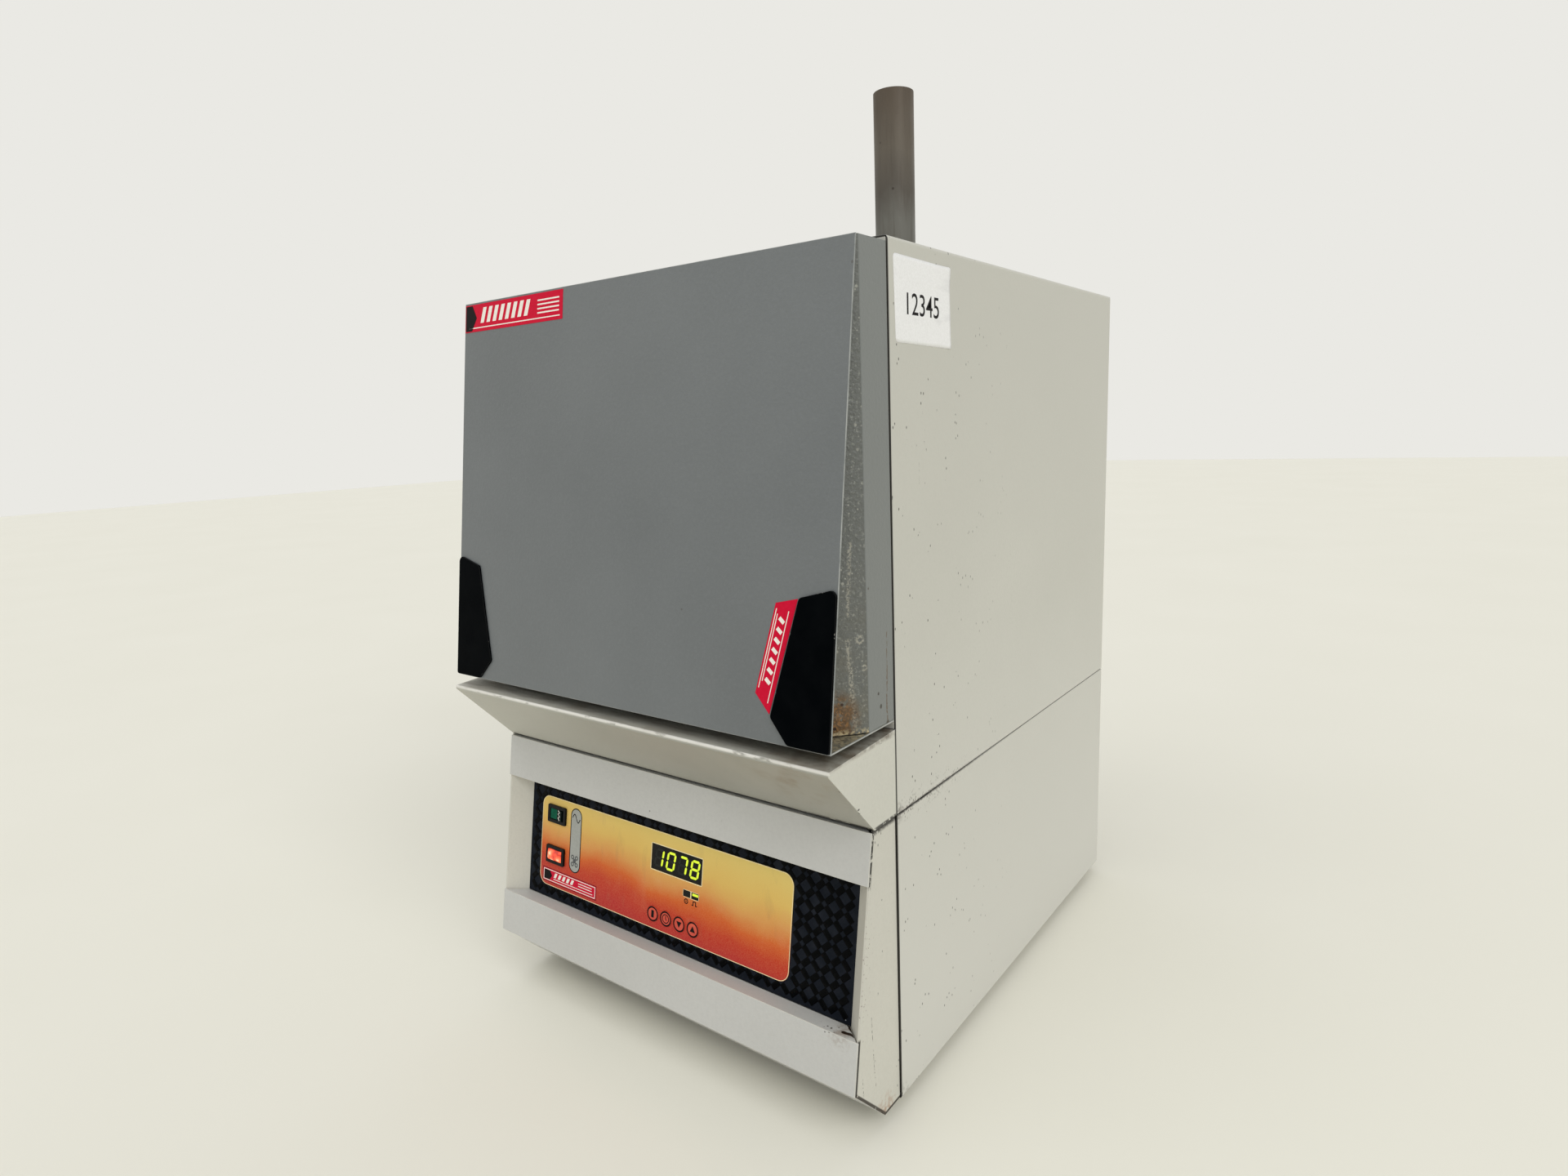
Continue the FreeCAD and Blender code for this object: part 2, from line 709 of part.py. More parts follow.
def make_mains_gland():
    """Cable gland with a hexagonal body and cap, and a bore for the mains cable."""
    where = {"x": GLAND_X, "z": "gland_height"}
    nut = prism("GlandNut", NUT_SIDES, "gland_nut_radius", "gland_nut_height",
                y="casing_depth", **where)
    cap = prism("GlandCap", NUT_SIDES, "gland_cap_radius", "gland_reach",
                y="casing_depth", **where)
    thread = cylinder("GlandThread", "gland_thread_radius",
                      "gland_inner_length + sheet_gauge", axis="Y",
                      y=f"{REAR_PLANE} - gland_inner_length", **where)
    bore = cylinder("GlandBore", "gland_bore_radius", "4 * gland_reach", axis="Y",
                    y="casing_depth - 2 * gland_reach", **where)
    return cut("mains_gland", joined("GlandSolid", [nut, cap, thread]), bore)


def make_feet():
    """Low rubber pads under the four corners."""
    feet = []
    for column in (-1, 1):
        for row_y in ("foot_inset", "(casing_depth - foot_inset)"):
            feet.append(prism("Foot", FOOT_SIDES, "foot_radius", "foot_height",
                              x=f"{column} * ({SIDE} - foot_inset)", y=row_y,
                              z="-foot_height", upright=True))
    return gathered("feet", feet)


def make_rear_screws():
    """Heads of the hexagon screws that hold both rear panels to the casing flanges."""
    screws = []
    edge = f"({SIDE} - screw_margin)"
    heights = ["(casing_flange / 2 + casing_bend)", "(seam_height - seam_gap - screw_margin)",
               "(seam_height + screw_margin)", "(casing_height - screw_margin)"]
    middle = "((seam_height + casing_height) / 2)"
    for side in (-1, 1):
        for height in heights + [middle]:
            screws.append(prism("ScrewHead", 6, "screw_head_radius", "screw_head_height",
                                x=f"{side} * {edge}", y="casing_depth", z=height))
    return gathered("rear_screws", screws)


# Ledge and console

def make_ledge():
    body = new_body("ledge")
    side = new_sketch(body, "LedgeSide", "YZ_Plane")
    add_polygon(side, [
        ("0", "seam_height"), ("0", "ledge_rear_height"),
        ("-ledge_reach", "ledge_nose_height"), ("-ledge_reach", LEDGE_DROP),
        ("-console_top_reach", "seam_height"),
    ])
    grow(body, side, "casing_width", midplane=True)
    round_edges(body, "ledge_bend",
                lambda edge: along(edge, X_AXIS) and near(edge.CenterOfMass.y, "-ledge_reach"))
    hollow(body, "sheet_gauge", lambda face: near(face.CenterOfMass.y, "0"))
    return body


def make_cheek():
    """Right side of the console: a flat cheek whose front edge folds back to the panel."""
    body = new_body("console_cheek_right")
    side = new_sketch(body, "CheekSide", "YZ_Plane", f"({CHEEK_OUT} - sheet_gauge)")
    low = "(undercut_height + sheet_gauge + cheek_clear)"
    high = f"({DECK_TOP} - deck_flange - cheek_clear)"
    add_polygon(side, [
        ("0", "seam_height - fit_gap"), ("-console_top_reach", "seam_height - fit_gap"),
        ("-console_bottom_reach", CONSOLE_BOTTOM),
        ("-undercut_reach", "undercut_height"), ("0", "undercut_height"),
        ("0", low), ("cheek_tuck", low), ("cheek_tuck", high), ("0", high),
    ])
    grow(body, side, "sheet_gauge")
    fold = new_sketch(body, "CheekFold", "XY_Plane", turn=f"-{CONSOLE_TILT}")
    ends = "(band_top_gap + fit_gap)"
    bind(fold, "AttachmentOffset.Base.z", f"(seam_height - {ends} * cos({CONSOLE_TILT}))")
    bind(fold, "AttachmentOffset.Base.y", f"(-console_top_reach - {ends} * sin({CONSOLE_TILT}))")
    add_polygon(fold, [
        (CHEEK_OUT, "0"), (f"({CHEEK_OUT} - cheek_lip)", "0"), (PANEL_HALF, "recess_depth"),
        (PANEL_HALF, "(recess_depth + cheek_fold_depth)"),
        (f"({CHEEK_OUT} - sheet_gauge)", "cheek_fold_depth"), (CHEEK_OUT, "cheek_fold_depth"),
    ])
    grow(body, fold, f"({CONSOLE_LENGTH} - 2 * {ends})", backwards=True)
    return body


def make_band(label, drop, width):
    """Folded band across the console; its returns are mitred to the splayed cheek folds."""
    body = console_body(label)
    section = new_sketch(body, "Section", "YZ_Plane")
    front = "(-band_gap - sheet_gauge)"
    low = f"(-{drop} - {width})"
    add_polygon(section, [
        (front, f"-{drop}"), ("band_return", f"-{drop}"),
        ("band_return", f"(-{drop} - sheet_gauge)"), ("-band_gap", f"(-{drop} - sheet_gauge)"),
        ("-band_gap", f"({low} + sheet_gauge)"), ("band_return", f"({low} + sheet_gauge)"),
        ("band_return", low), (front, low),
    ])
    grow(body, section, f"2 * {CHEEK_OUT}", midplane=True)
    mitre = new_sketch(body, "Mitre", "XY_Plane")
    for side in ("-", ""):
        add_polygon(mitre, [
            (f"{side}({CHEEK_OUT} + overshoot)", "-band_gap"),
            (f"{side}({CHEEK_OUT} - cheek_lip - band_gap * 2)", "-band_gap"),
            (f"{side}({PANEL_HALF} - band_gap * 2)", "recess_depth"),
            (f"{side}({CHEEK_OUT} + overshoot)", "recess_depth"),
        ])
    grow(body, mitre, f"4 * {CONSOLE_LENGTH}", kind="Pocket", midplane=True)
    return body


def make_undercut():
    """Sheet that closes the console below the lower band, back to the casing floor."""
    body = new_body("console_undercut")
    section = new_sketch(body, "UndercutSection", "YZ_Plane")
    rake = (f"atan(({CONSOLE_BOTTOM} - undercut_height)"
            " / (console_bottom_reach - undercut_reach))")
    thick = f"(sheet_gauge / sin({rake}))"
    start = f"({thick} * 2)"
    rise = f"({CONSOLE_BOTTOM} - {start} * tan({rake}))"
    add_polygon(section, [
        (f"(-console_bottom_reach + {start})", rise),
        ("-undercut_reach", "undercut_height"), ("cheek_tuck", "undercut_height"),
        ("cheek_tuck", "(undercut_height + sheet_gauge)"),
        (f"(-undercut_reach + {thick} - sheet_gauge / tan({rake}))",
         "(undercut_height + sheet_gauge)"),
        (f"(-console_bottom_reach + {start} + {thick})", rise),
    ])
    grow(body, section, f"2 * ({CHEEK_OUT} - sheet_gauge - fit_gap)", midplane=True)
    return body


def add_opening(sketch, middle, width, drop, length):
    """Rectangular opening in the console's frame with a running clearance all round."""
    add_rectangle(sketch, f"({middle} - {width} / 2 - fit_gap)",
                  f"({middle} + {width} / 2 + fit_gap)", f"(-{drop} - {length} - fit_gap)",
                  f"(-{drop} + fit_gap)")


def cut_panel_openings(sketch, key_cut):
    """The openings that the panel, its overlay and its label have in common."""
    add_opening(sketch, DISPLAY_MIDDLE, "display_width", "display_drop", "display_length")
    add_opening(sketch, LIGHTS_MIDDLE, "lights_width", "lights_drop", "lights_length")
    key_hole = "(key_radius + key_clear)"
    row = f"({KEY_COUNT - 1} * key_pitch)"
    for index in range(KEY_COUNT):
        x = f"({FIRST_KEY} + {index} * key_pitch)"
        if key_cut == "round":
            add_circle(sketch, x, "-key_drop", key_hole)
        elif key_cut == "cropped":
            add_regular(sketch, x, "-key_drop", key_hole, HOLE_SIDES)
    if key_cut == "window":
        add_opening(sketch, f"({FIRST_KEY} + {row} / 2)", f"({row} + 2 * {key_hole})",
                    f"(key_drop - {key_hole})", f"(2 * {key_hole})")
    for drop in ("switch_drop", "lamp_drop"):
        add_opening(sketch, SWITCH_MIDDLE, "(switch_width - 2 * switch_bezel_wall)",
                    f"({drop} + switch_bezel_wall)", "(switch_length - 2 * switch_bezel_wall)")


def make_panel_sheet(label, top, bottom, face, gauge, key_cut):
    body = console_body(label)
    outline = new_sketch(body, "Outline", "XZ_Plane", f"-{face}")
    half_width = f"({PANEL_HALF} - fit_gap)"
    add_rectangle(outline, f"-{half_width}", half_width, bottom, top)
    cut_panel_openings(outline, key_cut)
    grow(body, outline, gauge, backwards=True)
    return body



def make_control_panel():
    return make_panel_sheet("control_panel", f"({RECESS_TOP} + panel_tuck)",
                            f"({RECESS_BOTTOM} - panel_tuck)", PANEL_FACE, "panel_gauge",
                            "cropped")


def make_panel_overlay():
    """Thin black sheet over the panel, with one window round all the keys."""
    return make_panel_sheet("panel_overlay", f"({RECESS_TOP} - fit_gap)",
                            f"({RECESS_BOTTOM} + fit_gap)", "recess_depth", "overlay_gauge",
                            "window")


def make_panel_label():
    body = console_body("panel_label")
    outline = new_sketch(body, "LabelOutline", "XZ_Plane", f"-{LABEL_FACE}")
    add_rectangle(outline, LABEL_LEFT, LABEL_RIGHT, "(-label_drop - label_length)",
                  "-label_drop")
    cut_panel_openings(outline, "round")
    grow(body, outline, "label_gauge", backwards=True)
    round_edges(body, "label_corner",
                lambda edge: crosswise_edges(edge)
                and any(near(edge.CenterOfMass.x, end) for end in (LABEL_LEFT, LABEL_RIGHT)))
    return body


def make_display_windows():
    """Dark windows over the digits and over the two status lights."""
    windows = []
    for name, middle, width, drop, length in (
            ("DigitWindow", DISPLAY_MIDDLE, "display_width", "display_drop", "display_length"),
            ("LightWindow", LIGHTS_MIDDLE, "lights_width", "lights_drop", "lights_length")):
        body = console_body(name)
        outline = new_sketch(body, f"{name}Outline", "XZ_Plane", "-recess_depth")
        add_rectangle(outline, f"({middle} - {width} / 2)", f"({middle} + {width} / 2)",
                      f"(-{drop} - {length})", f"-{drop}")
        grow(body, outline, f"({PANEL_FACE} + panel_gauge + module_standoff - recess_depth)",
             backwards=True)
        windows.append(body)
    return gathered("display_windows", windows)


def make_controller_module():
    """Instrument behind the panel, with the display, the lights and the key switches."""
    body = console_body("controller_module")
    left = f"({DISPLAY_MIDDLE} - display_width / 2 - module_margin)"
    right = f"({DISPLAY_MIDDLE} + display_width / 2 + module_margin)"
    outline = new_sketch(body, "ModuleOutline", "XZ_Plane",
                         f"-({PANEL_FACE} + panel_gauge + module_standoff)")
    add_rectangle(outline, left, right, "(-key_drop - key_radius - module_margin / 2)",
                  "(-display_drop + module_margin)")
    grow(body, outline, "module_depth", backwards=True)
    round_edges(body, "module_corner", crosswise_edges)
    return body


def make_key(index, label):
    """Round cap through the panel, on a square flange that the panel holds from behind."""
    body = console_body(label)
    x = f"({FIRST_KEY} + {index} * key_pitch)"
    face = f"({LABEL_FACE} - key_proud)"
    behind = f"({PANEL_FACE} + panel_gauge + fit_gap)"
    end = f"({PANEL_FACE} + panel_gauge + module_standoff - key_travel - key_rest_gap)"
    cap = new_sketch(body, f"Cap{index}", "XZ_Plane", f"-{face}")
    add_circle(cap, x, "-key_drop", "key_radius")
    grow(body, cap, f"({end} - {face})", backwards=True)
    flange = new_sketch(body, f"Flange{index}", "XZ_Plane", f"-{behind}")
    half = "(key_radius + key_flange_reach)"
    add_rectangle(flange, f"({x} - {half})", f"({x} + {half})", f"(-key_drop - {half})",
                  f"(-key_drop + {half})")
    grow(body, flange, f"({end} - {behind})", backwards=True)
    return body


def make_switch_case(label, drop):
    """Snap-in case with a raised bezel, open at the front."""
    body = console_body(label)
    left = f"({SWITCH_MIDDLE} - switch_width / 2)"
    right = f"({SWITCH_MIDDLE} + switch_width / 2)"
    top = f"(-{drop})"
    bottom = f"(-{drop} - switch_length)"
    bezel = new_sketch(body, "Bezel", "XZ_Plane", f"-({LABEL_FACE} - switch_bezel)")
    add_rectangle(bezel, left, right, bottom, top)
    grow(body, bezel, "switch_bezel", backwards=True)
    round_edges(body, "switch_corner", crosswise_edges)
    barrel = new_sketch(body, "Barrel", "XZ_Plane", f"-{LABEL_FACE}")
    wall = "switch_bezel_wall"
    add_rectangle(barrel, f"({left} + {wall})", f"({right} - {wall})", f"({bottom} + {wall})",
                  f"({top} - {wall})")
    grow(body, barrel, "switch_body_depth", backwards=True)
    well = new_sketch(body, "Well", "XZ_Plane", f"-({LABEL_FACE} - switch_bezel)")
    wall = "switch_inner_wall"
    add_rectangle(well, f"({left} + {wall})", f"({right} - {wall})", f"({bottom} + {wall})",
                  f"({top} - {wall})")
    grow(body, well, "(switch_bezel + switch_well_depth)", kind="Pocket")
    return body


def make_rocker_paddle():
    """Rocker that turns about a pin running up the slope, drawn in its resting position."""
    body = console_body("rocker_paddle")
    half = "(switch_width / 2 - switch_inner_wall - rocker_clear)"
    high = "(-switch_drop - switch_inner_wall - rocker_clear)"
    low = "(-switch_drop - switch_length + switch_inner_wall + rocker_clear)"
    pivot = f"({LABEL_FACE} + rocker_pivot_depth)"
    proud = "(switch_bezel + rocker_proud)"
    lifted = f"(({half} - ({proud} + rocker_pivot_depth) * sin(rocker_angle)) / cos(rocker_angle))"
    dip = f"({lifted} * tan(rocker_angle))"
    section = new_sketch(body, "PaddleSection", "XY_Plane", low)
    add_polygon(section, [
        (f"({SWITCH_MIDDLE} - {half})", f"({LABEL_FACE} - {proud} + {dip})"),
        (SWITCH_MIDDLE, f"({LABEL_FACE} - {proud} + {dip})"),
        (f"({SWITCH_MIDDLE} + {lifted})", f"({LABEL_FACE} - {proud})"),
        (f"({SWITCH_MIDDLE} + {lifted} - rocker_taper)", f"({pivot} - rocker_shoulder)"),
        (SWITCH_MIDDLE, f"({pivot} + rocker_keel)"),
        (f"({SWITCH_MIDDLE} - {half} + rocker_taper)", f"({pivot} + rocker_shoulder)"),
    ])
    grow(body, section, f"({high} - {low})")
    return body


def make_heat_lamp():
    """Indicator lamp with a raised, faceted lens in the same bezel as the switch."""
    case = make_switch_case("LampCase", "lamp_drop")
    lens = console_body("LampLens")
    wall = "(switch_inner_wall + fit_gap / 2)"
    front = f"({LABEL_FACE} - switch_bezel - lamp_proud)"
    outline = new_sketch(lens, "LensOutline", "XZ_Plane", f"-{front}")
    add_rectangle(outline, f"({SWITCH_MIDDLE} - switch_width / 2 + {wall})",
                  f"({SWITCH_MIDDLE} + switch_width / 2 - {wall})",
                  f"(-lamp_drop - switch_length + {wall})", f"(-lamp_drop - {wall})")
    grow(lens, outline, "(switch_bezel + lamp_proud + switch_well_depth)", backwards=True)
    round_edges(lens, "lens_facet", lambda edge: near(edge.CenterOfMass.y, front), kind="Chamfer")
    return gathered("heat_lamp", [case, lens])


# Door

def make_door_pan():
    """Wedge-shaped shell, open at the back, whose front corners fold in for finger grooves."""
    body = new_body("door_pan")
    side = new_sketch(body, "PanSide", "YZ_Plane")
    add_polygon(side, [
        ("-door_gap", PAN_BOTTOM), (f"(-pan_depth - {WEDGE_LOW})", PAN_BOTTOM),
        (f"(-pan_depth - {WEDGE_HIGH})", DOOR_TOP), ("-door_gap", DOOR_TOP),
    ])
    grow(body, side, f"2 * {DOOR_HALF}", midplane=True)
    corners = new_sketch(body, "GrooveCorners", "XY_Plane", PAN_BOTTOM)
    reach = f"({WEDGE_LOW} + overshoot)"
    for sign in ("-", ""):
        add_polygon(corners, [
            (f"{sign}{DOOR_HALF}", "-pan_depth"),
            (f"{sign}({DOOR_HALF} - groove_slope * {reach})", f"(-pan_depth - {reach})"),
            (f"{sign}({DOOR_HALF} + overshoot)", f"(-pan_depth - {reach})"),
            (f"{sign}({DOOR_HALF} + overshoot)", "-pan_depth"),
        ])
    grow(body, corners, "door_height", kind="Pocket", backwards=True)
    hollow(body, "sheet_gauge", lambda face: near(face.CenterOfMass.y, "-door_gap"))
    return body


def make_door_skin():
    body = new_body("door_skin")
    side = new_sketch(body, "SkinSide", "YZ_Plane")
    add_polygon(side, [
        ("-skin_bottom_reach", "door_bottom"),
        (f"(-skin_bottom_reach + {SKIN_DEPTH})", "door_bottom"),
        (f"(-skin_top_reach + {SKIN_DEPTH})", DOOR_TOP), ("-skin_top_reach", DOOR_TOP),
    ])
    grow(body, side, f"2 * {DOOR_HALF}", midplane=True)
    return body


def make_door_base():
    """Flat sheet that closes the underside of the door and of both finger grooves."""
    body = new_body("door_base")
    plan = new_sketch(body, "BasePlan", "XY_Plane", "door_bottom")
    add_rectangle(plan, f"-{DOOR_HALF}", DOOR_HALF, f"(-pan_depth - {WEDGE_LOW})", "-door_gap")
    grow(body, plan, "sheet_gauge")
    return body


def make_door_back():
    """Inner sheet of the door, open for the insulation block and slotted for the arms."""
    body = new_body("door_back")
    edge = f"({DOOR_HALF} - sheet_gauge - fit_gap)"
    face = new_sketch(body, "BackFace", "XZ_Plane", "door_gap")
    add_rectangle(face, f"-{edge}", edge, f"({PAN_BOTTOM} + sheet_gauge + fit_gap)",
                  f"({DOOR_TOP} - sheet_gauge - fit_gap)")
    add_rectangle(face, "-(door_block_width / 2 + block_gap)", "(door_block_width / 2 + block_gap)",
                  f"({BLOCK_MIDDLE} - door_block_height / 2 - block_gap)",
                  f"({BLOCK_MIDDLE} + door_block_height / 2 + block_gap)")
    high = f"({DOOR_PIVOT} + pivot_spacing + door_pivot_reach * tan(closed_angle) + arm_width)"
    low = f"({PAN_BOTTOM} + sheet_gauge + fit_gap + slot_end_clear)"
    for side in ("-", ""):
        add_rectangle(face, f"{side}({ARM_IN} - slot_clear)", f"{side}({ARM_OUT} + slot_clear)",
                      low, high)
    grow(body, face, "sheet_gauge")
    return body


def make_door_block():
    body = new_body("door_insulation")
    face = new_sketch(body, "BlockFace", "XZ_Plane", f"-({THROAT_FACE} - block_gap)")
    add_rectangle(face, "-door_block_width / 2", "door_block_width / 2",
                  f"({BLOCK_MIDDLE} - door_block_height / 2)",
                  f"({BLOCK_MIDDLE} + door_block_height / 2)")
    grow(body, face, "door_block_thickness")
    rear = f"({THROAT_FACE} - block_gap)"
    round_edges(body, "door_block_edge",
                lambda edge: near(edge.CenterOfMass.y, rear), kind="Chamfer")
    return body


def make_grip():
    """Flat corner pad at the right foot of the door front."""
    body = new_body("door_grip_right", y="-skin_bottom_reach", z="door_bottom",
                    turn=f"-{SKIN_TILT}")
    outer = f"({DOOR_HALF} - grip_margin)"
    pad = new_sketch(body, "GripPad", "XZ_Plane")
    add_polygon(pad, [
        (outer, "grip_margin"), (outer, "grip_height"),
        (f"({outer} - grip_top_width)", "grip_height"),
        (f"({outer} - grip_low_width)", "grip_low_height"),
        (f"({outer} - grip_bottom_width)", "grip_margin"),
    ])
    grow(body, pad, "grip_thickness")
    round_edges(body, "grip_corner", crosswise_edges)
    round_edges(body, "grip_thickness / 4",
                lambda edge: near(edge.CenterOfMass.y, "-grip_thickness"), kind="Chamfer")
    return body


def make_hinge():
    """Channel inside the door's right edge, with the two pins that the arms carry."""
    body = new_body("door_hinge_right")
    inner = f"({ARM_OUT} + hinge_gap)"
    outer = f"({DOOR_HALF} - sheet_gauge - fit_gap)"
    near_face = "(-door_gap - sheet_gauge - fit_gap)"
    far_face = f"({near_face} - hinge_depth)"
    low = f"({DOOR_PIVOT} - hinge_margin)"
    section = new_sketch(body, "HingeSection", "XY_Plane", low)
    add_polygon(section, [
        (inner, near_face), (f"({inner} + hinge_gauge)", near_face),
        (f"({inner} + hinge_gauge)", f"({far_face} + hinge_gauge)"),
        (f"({outer} - hinge_gauge)", f"({far_face} + hinge_gauge)"),
        (f"({outer} - hinge_gauge)", near_face), (outer, near_face),
        (outer, far_face), (inner, far_face),
    ])
    grow(body, section, "(pivot_spacing + 2 * hinge_margin)")
    pins = new_sketch(body, "HingePins", "YZ_Plane", f"({ARM_IN} - pin_overhang)")
    add_circle(pins, "-door_pivot_reach", DOOR_PIVOT, "door_pin_radius")
    add_circle(pins, "-door_pivot_reach", f"({DOOR_PIVOT} + pivot_spacing)", "door_pin_radius")
    grow(body, pins, f"({inner} - {ARM_IN} + pin_overhang + hinge_gauge / 2)")
    return body


# Arms

def make_arm(label, height, tail):
    """Flat bar from its casing pivot to the door, drawn level and turned to the closed door."""
    body = new_body(label, y=PIVOT_DEPTH, z=height, turn="closed_angle")
    bar = new_sketch(body, "Bar", "YZ_Plane", ARM_IN)
    add_bar(bar, "-arm_length", tail, "(arm_width / 2)")
    add_circle(bar, "-arm_length", "0", "(door_pin_radius + pin_clear)")
    add_circle(bar, "0", "0", "(casing_pin_radius + pin_clear)")
    grow(body, bar, "arm_gauge")
    return body


def make_lower_arm():
    return make_arm("lower_arm_right", PIVOT_HEIGHT, "(tail_length + weight_slot_reach)")


def make_upper_arm():
    return make_arm("upper_arm_right", f"({PIVOT_HEIGHT} + pivot_spacing)", "0")


def make_counterweight():
    """Heavy block slotted over the tail of the lower arm."""
    body = new_body("counterweight_right", y=PIVOT_DEPTH, z=PIVOT_HEIGHT, turn="closed_angle")
    front = "(tail_length - weight_length / 2)"
    side = new_sketch(body, "WeightSide", "YZ_Plane", f"({ARM_PLANE} - weight_offset)")
    add_rectangle(side, front, "(tail_length + weight_length / 2)", "-weight_width / 2",
                  "weight_width / 2")
    grow(body, side, "weight_thickness")
    round_edges(body, "weight_corner", lambda edge: along(edge, X_AXIS))
    slot = new_sketch(body, "WeightSlot", "YZ_Plane", f"({ARM_IN} - weight_slot_clear)")
    add_bar(slot, f"({front} - arm_width)", "(tail_length + weight_slot_reach)",
            "(arm_width / 2 + weight_slot_clear)")
    grow(body, slot, "(arm_gauge + 2 * weight_slot_clear)", kind="Pocket", backwards=True)
    return body


def make_pivot_plate():
    """Plate on the inner case with the two arm pins and the two stops of the lower arm."""
    body = new_body("pivot_plate_right", y=PIVOT_DEPTH, z=PIVOT_HEIGHT)
    face = new_sketch(body, "PlateFace", "YZ_Plane", PLATE_IN)
    left = "-pivot_plate_front"
    right = "pivot_plate_rear"
    low = "-pivot_plate_below"
    high = "(pivot_spacing + pivot_plate_above)"
    corner = "pivot_plate_corner"
    add_polygon(face, [
        (left, f"({low} + {corner})"), (f"({left} + {corner})", low), (right, low),
        (right, f"({high} - {corner})"), (f"({right} - {corner})", high), (left, high),
    ])
    grow(body, face, "pivot_plate_gauge")
    shoulders = new_sketch(body, "Shoulders", "YZ_Plane", PLATE_OUT)
    pins = new_sketch(body, "PlatePins", "YZ_Plane", PLATE_OUT)
    for height in ("0", "pivot_spacing"):
        add_regular(shoulders, "0", height, "shoulder_radius", NUT_SIDES)
        add_circle(pins, "0", height, "casing_pin_radius")
    grow(body, shoulders, f"({ARM_IN} - shoulder_gap - {PLATE_OUT})")
    grow(body, pins, f"({ARM_OUT} + pin_overhang - {PLATE_OUT})")
    stops = new_sketch(body, "ArmStops", "YZ_Plane", PLATE_OUT)
    near_side = "(arm_width / 2 + stop_clear)"
    far_side = f"({near_side} + stop_width)"
    for angle, side in (("closed_angle", ""), ("-open_angle", "-")):
        add_polygon(stops, [
            (f"({along} * cos({angle}) - {side}{off} * sin({angle}))",
             f"({along} * sin({angle}) + {side}{off} * cos({angle}))")
            for along, off in (("(stop_distance - stop_width / 2)", near_side),
                               ("(stop_distance + stop_width / 2)", near_side),
                               ("(stop_distance + stop_width / 2)", far_side),
                               ("(stop_distance - stop_width / 2)", far_side))
        ])
    grow(body, stops, f"({ARM_OUT} - {PLATE_OUT})")
    return body


# Chamber

def make_front_slab(label, bottom, top, half_width, front, length, holes=()):
    """Upright slab seen from the front, with rectangular openings."""
    body = new_body(label)
    face = new_sketch(body, "SlabFace", "XZ_Plane", f"-{front}")
    add_rectangle(face, f"-{half_width}", half_width, bottom, top)
    for left, right, low, high in holes:
        add_rectangle(face, left, right, low, high)
    grow(body, face, length, backwards=True)
    return body


def make_throat_board():
    opening = ("-chamber_width / 2", "chamber_width / 2", "chamber_floor", CHAMBER_ROOF)
    return make_front_slab("throat_board", "insulation_bottom", "insulation_top",
                           INSULATION_HALF, THROAT_FACE, "throat_thickness", [opening])


def make_roof_insulation():
    return make_front_slab("roof_insulation", CHAMBER_ROOF, "insulation_top", TILE_OUT,
                           CHAMBER_FRONT, "chamber_length")


def make_floor_insulation():
    return make_front_slab("floor_insulation", "insulation_bottom", HEARTH_SEAT, TILE_OUT,
                           CHAMBER_FRONT, "chamber_length")


def make_hearth_tile():
    return make_front_slab("hearth_tile", HEARTH_SEAT, "chamber_floor",
                           "(chamber_width / 2 - hearth_gap)", f"({CHAMBER_FRONT} + hearth_gap)",
                           "(chamber_length - 2 * hearth_gap)")


def make_side_insulation():
    body = new_body("SideBoard")
    face = new_sketch(body, "SideBoardFace", "XZ_Plane", f"-{CHAMBER_FRONT}")
    add_rectangle(face, TILE_OUT, INSULATION_HALF, "insulation_bottom", "insulation_top")
    grow(body, face, "chamber_length", backwards=True)
    return gathered("side_insulation", [body, mirror("SideBoardLeft", body)])


GROOVE_START = "(chamber_floor + (chamber_height - groove_pitch * (groove_count - 1)) / 2)"
GROOVE_X = "(chamber_width / 2 + groove_depth)"


def make_element_plates():
    """Side tiles with open eight-sided grooves that hold the heating coils."""
    body = new_body("ElementPlate")
    face = new_sketch(body, "TileFace", "XZ_Plane", f"-{CHAMBER_FRONT}")
    add_rectangle(face, "chamber_width / 2", TILE_OUT, HEARTH_SEAT, CHAMBER_ROOF)
    grow(body, face, "chamber_length", backwards=True)
    groove = new_sketch(body, "CoilGroove", "XZ_Plane", f"-{CHAMBER_FRONT}")
    add_regular(groove, GROOVE_X, GROOVE_START, "groove_radius", HOLE_SIDES)
    cutter = grow(body, groove, "chamber_length", kind="Pocket")
    pattern(body, cutter, "Z_Axis", "groove_pitch * (groove_count - 1)", "groove_count")
    return gathered("element_plates", [body, mirror("ElementPlateLeft", body)])


def make_heating_coils():
    """Outer envelope of each wire coil, one in each groove."""
    coils = []
    for side in (-1, 1):
        for index in range(int(number("groove_count"))):
            coils.append(prism("Coil", COIL_SIDES, "(groove_radius - coil_gap)",
                               "(chamber_length - 2 * coil_end)", x=f"{side} * {GROOVE_X}",
                               y=f"{CHAMBER_FRONT} + coil_end",
                               z=f"{GROOVE_START} + {index} * groove_pitch"))
    return gathered("heating_coils", coils)


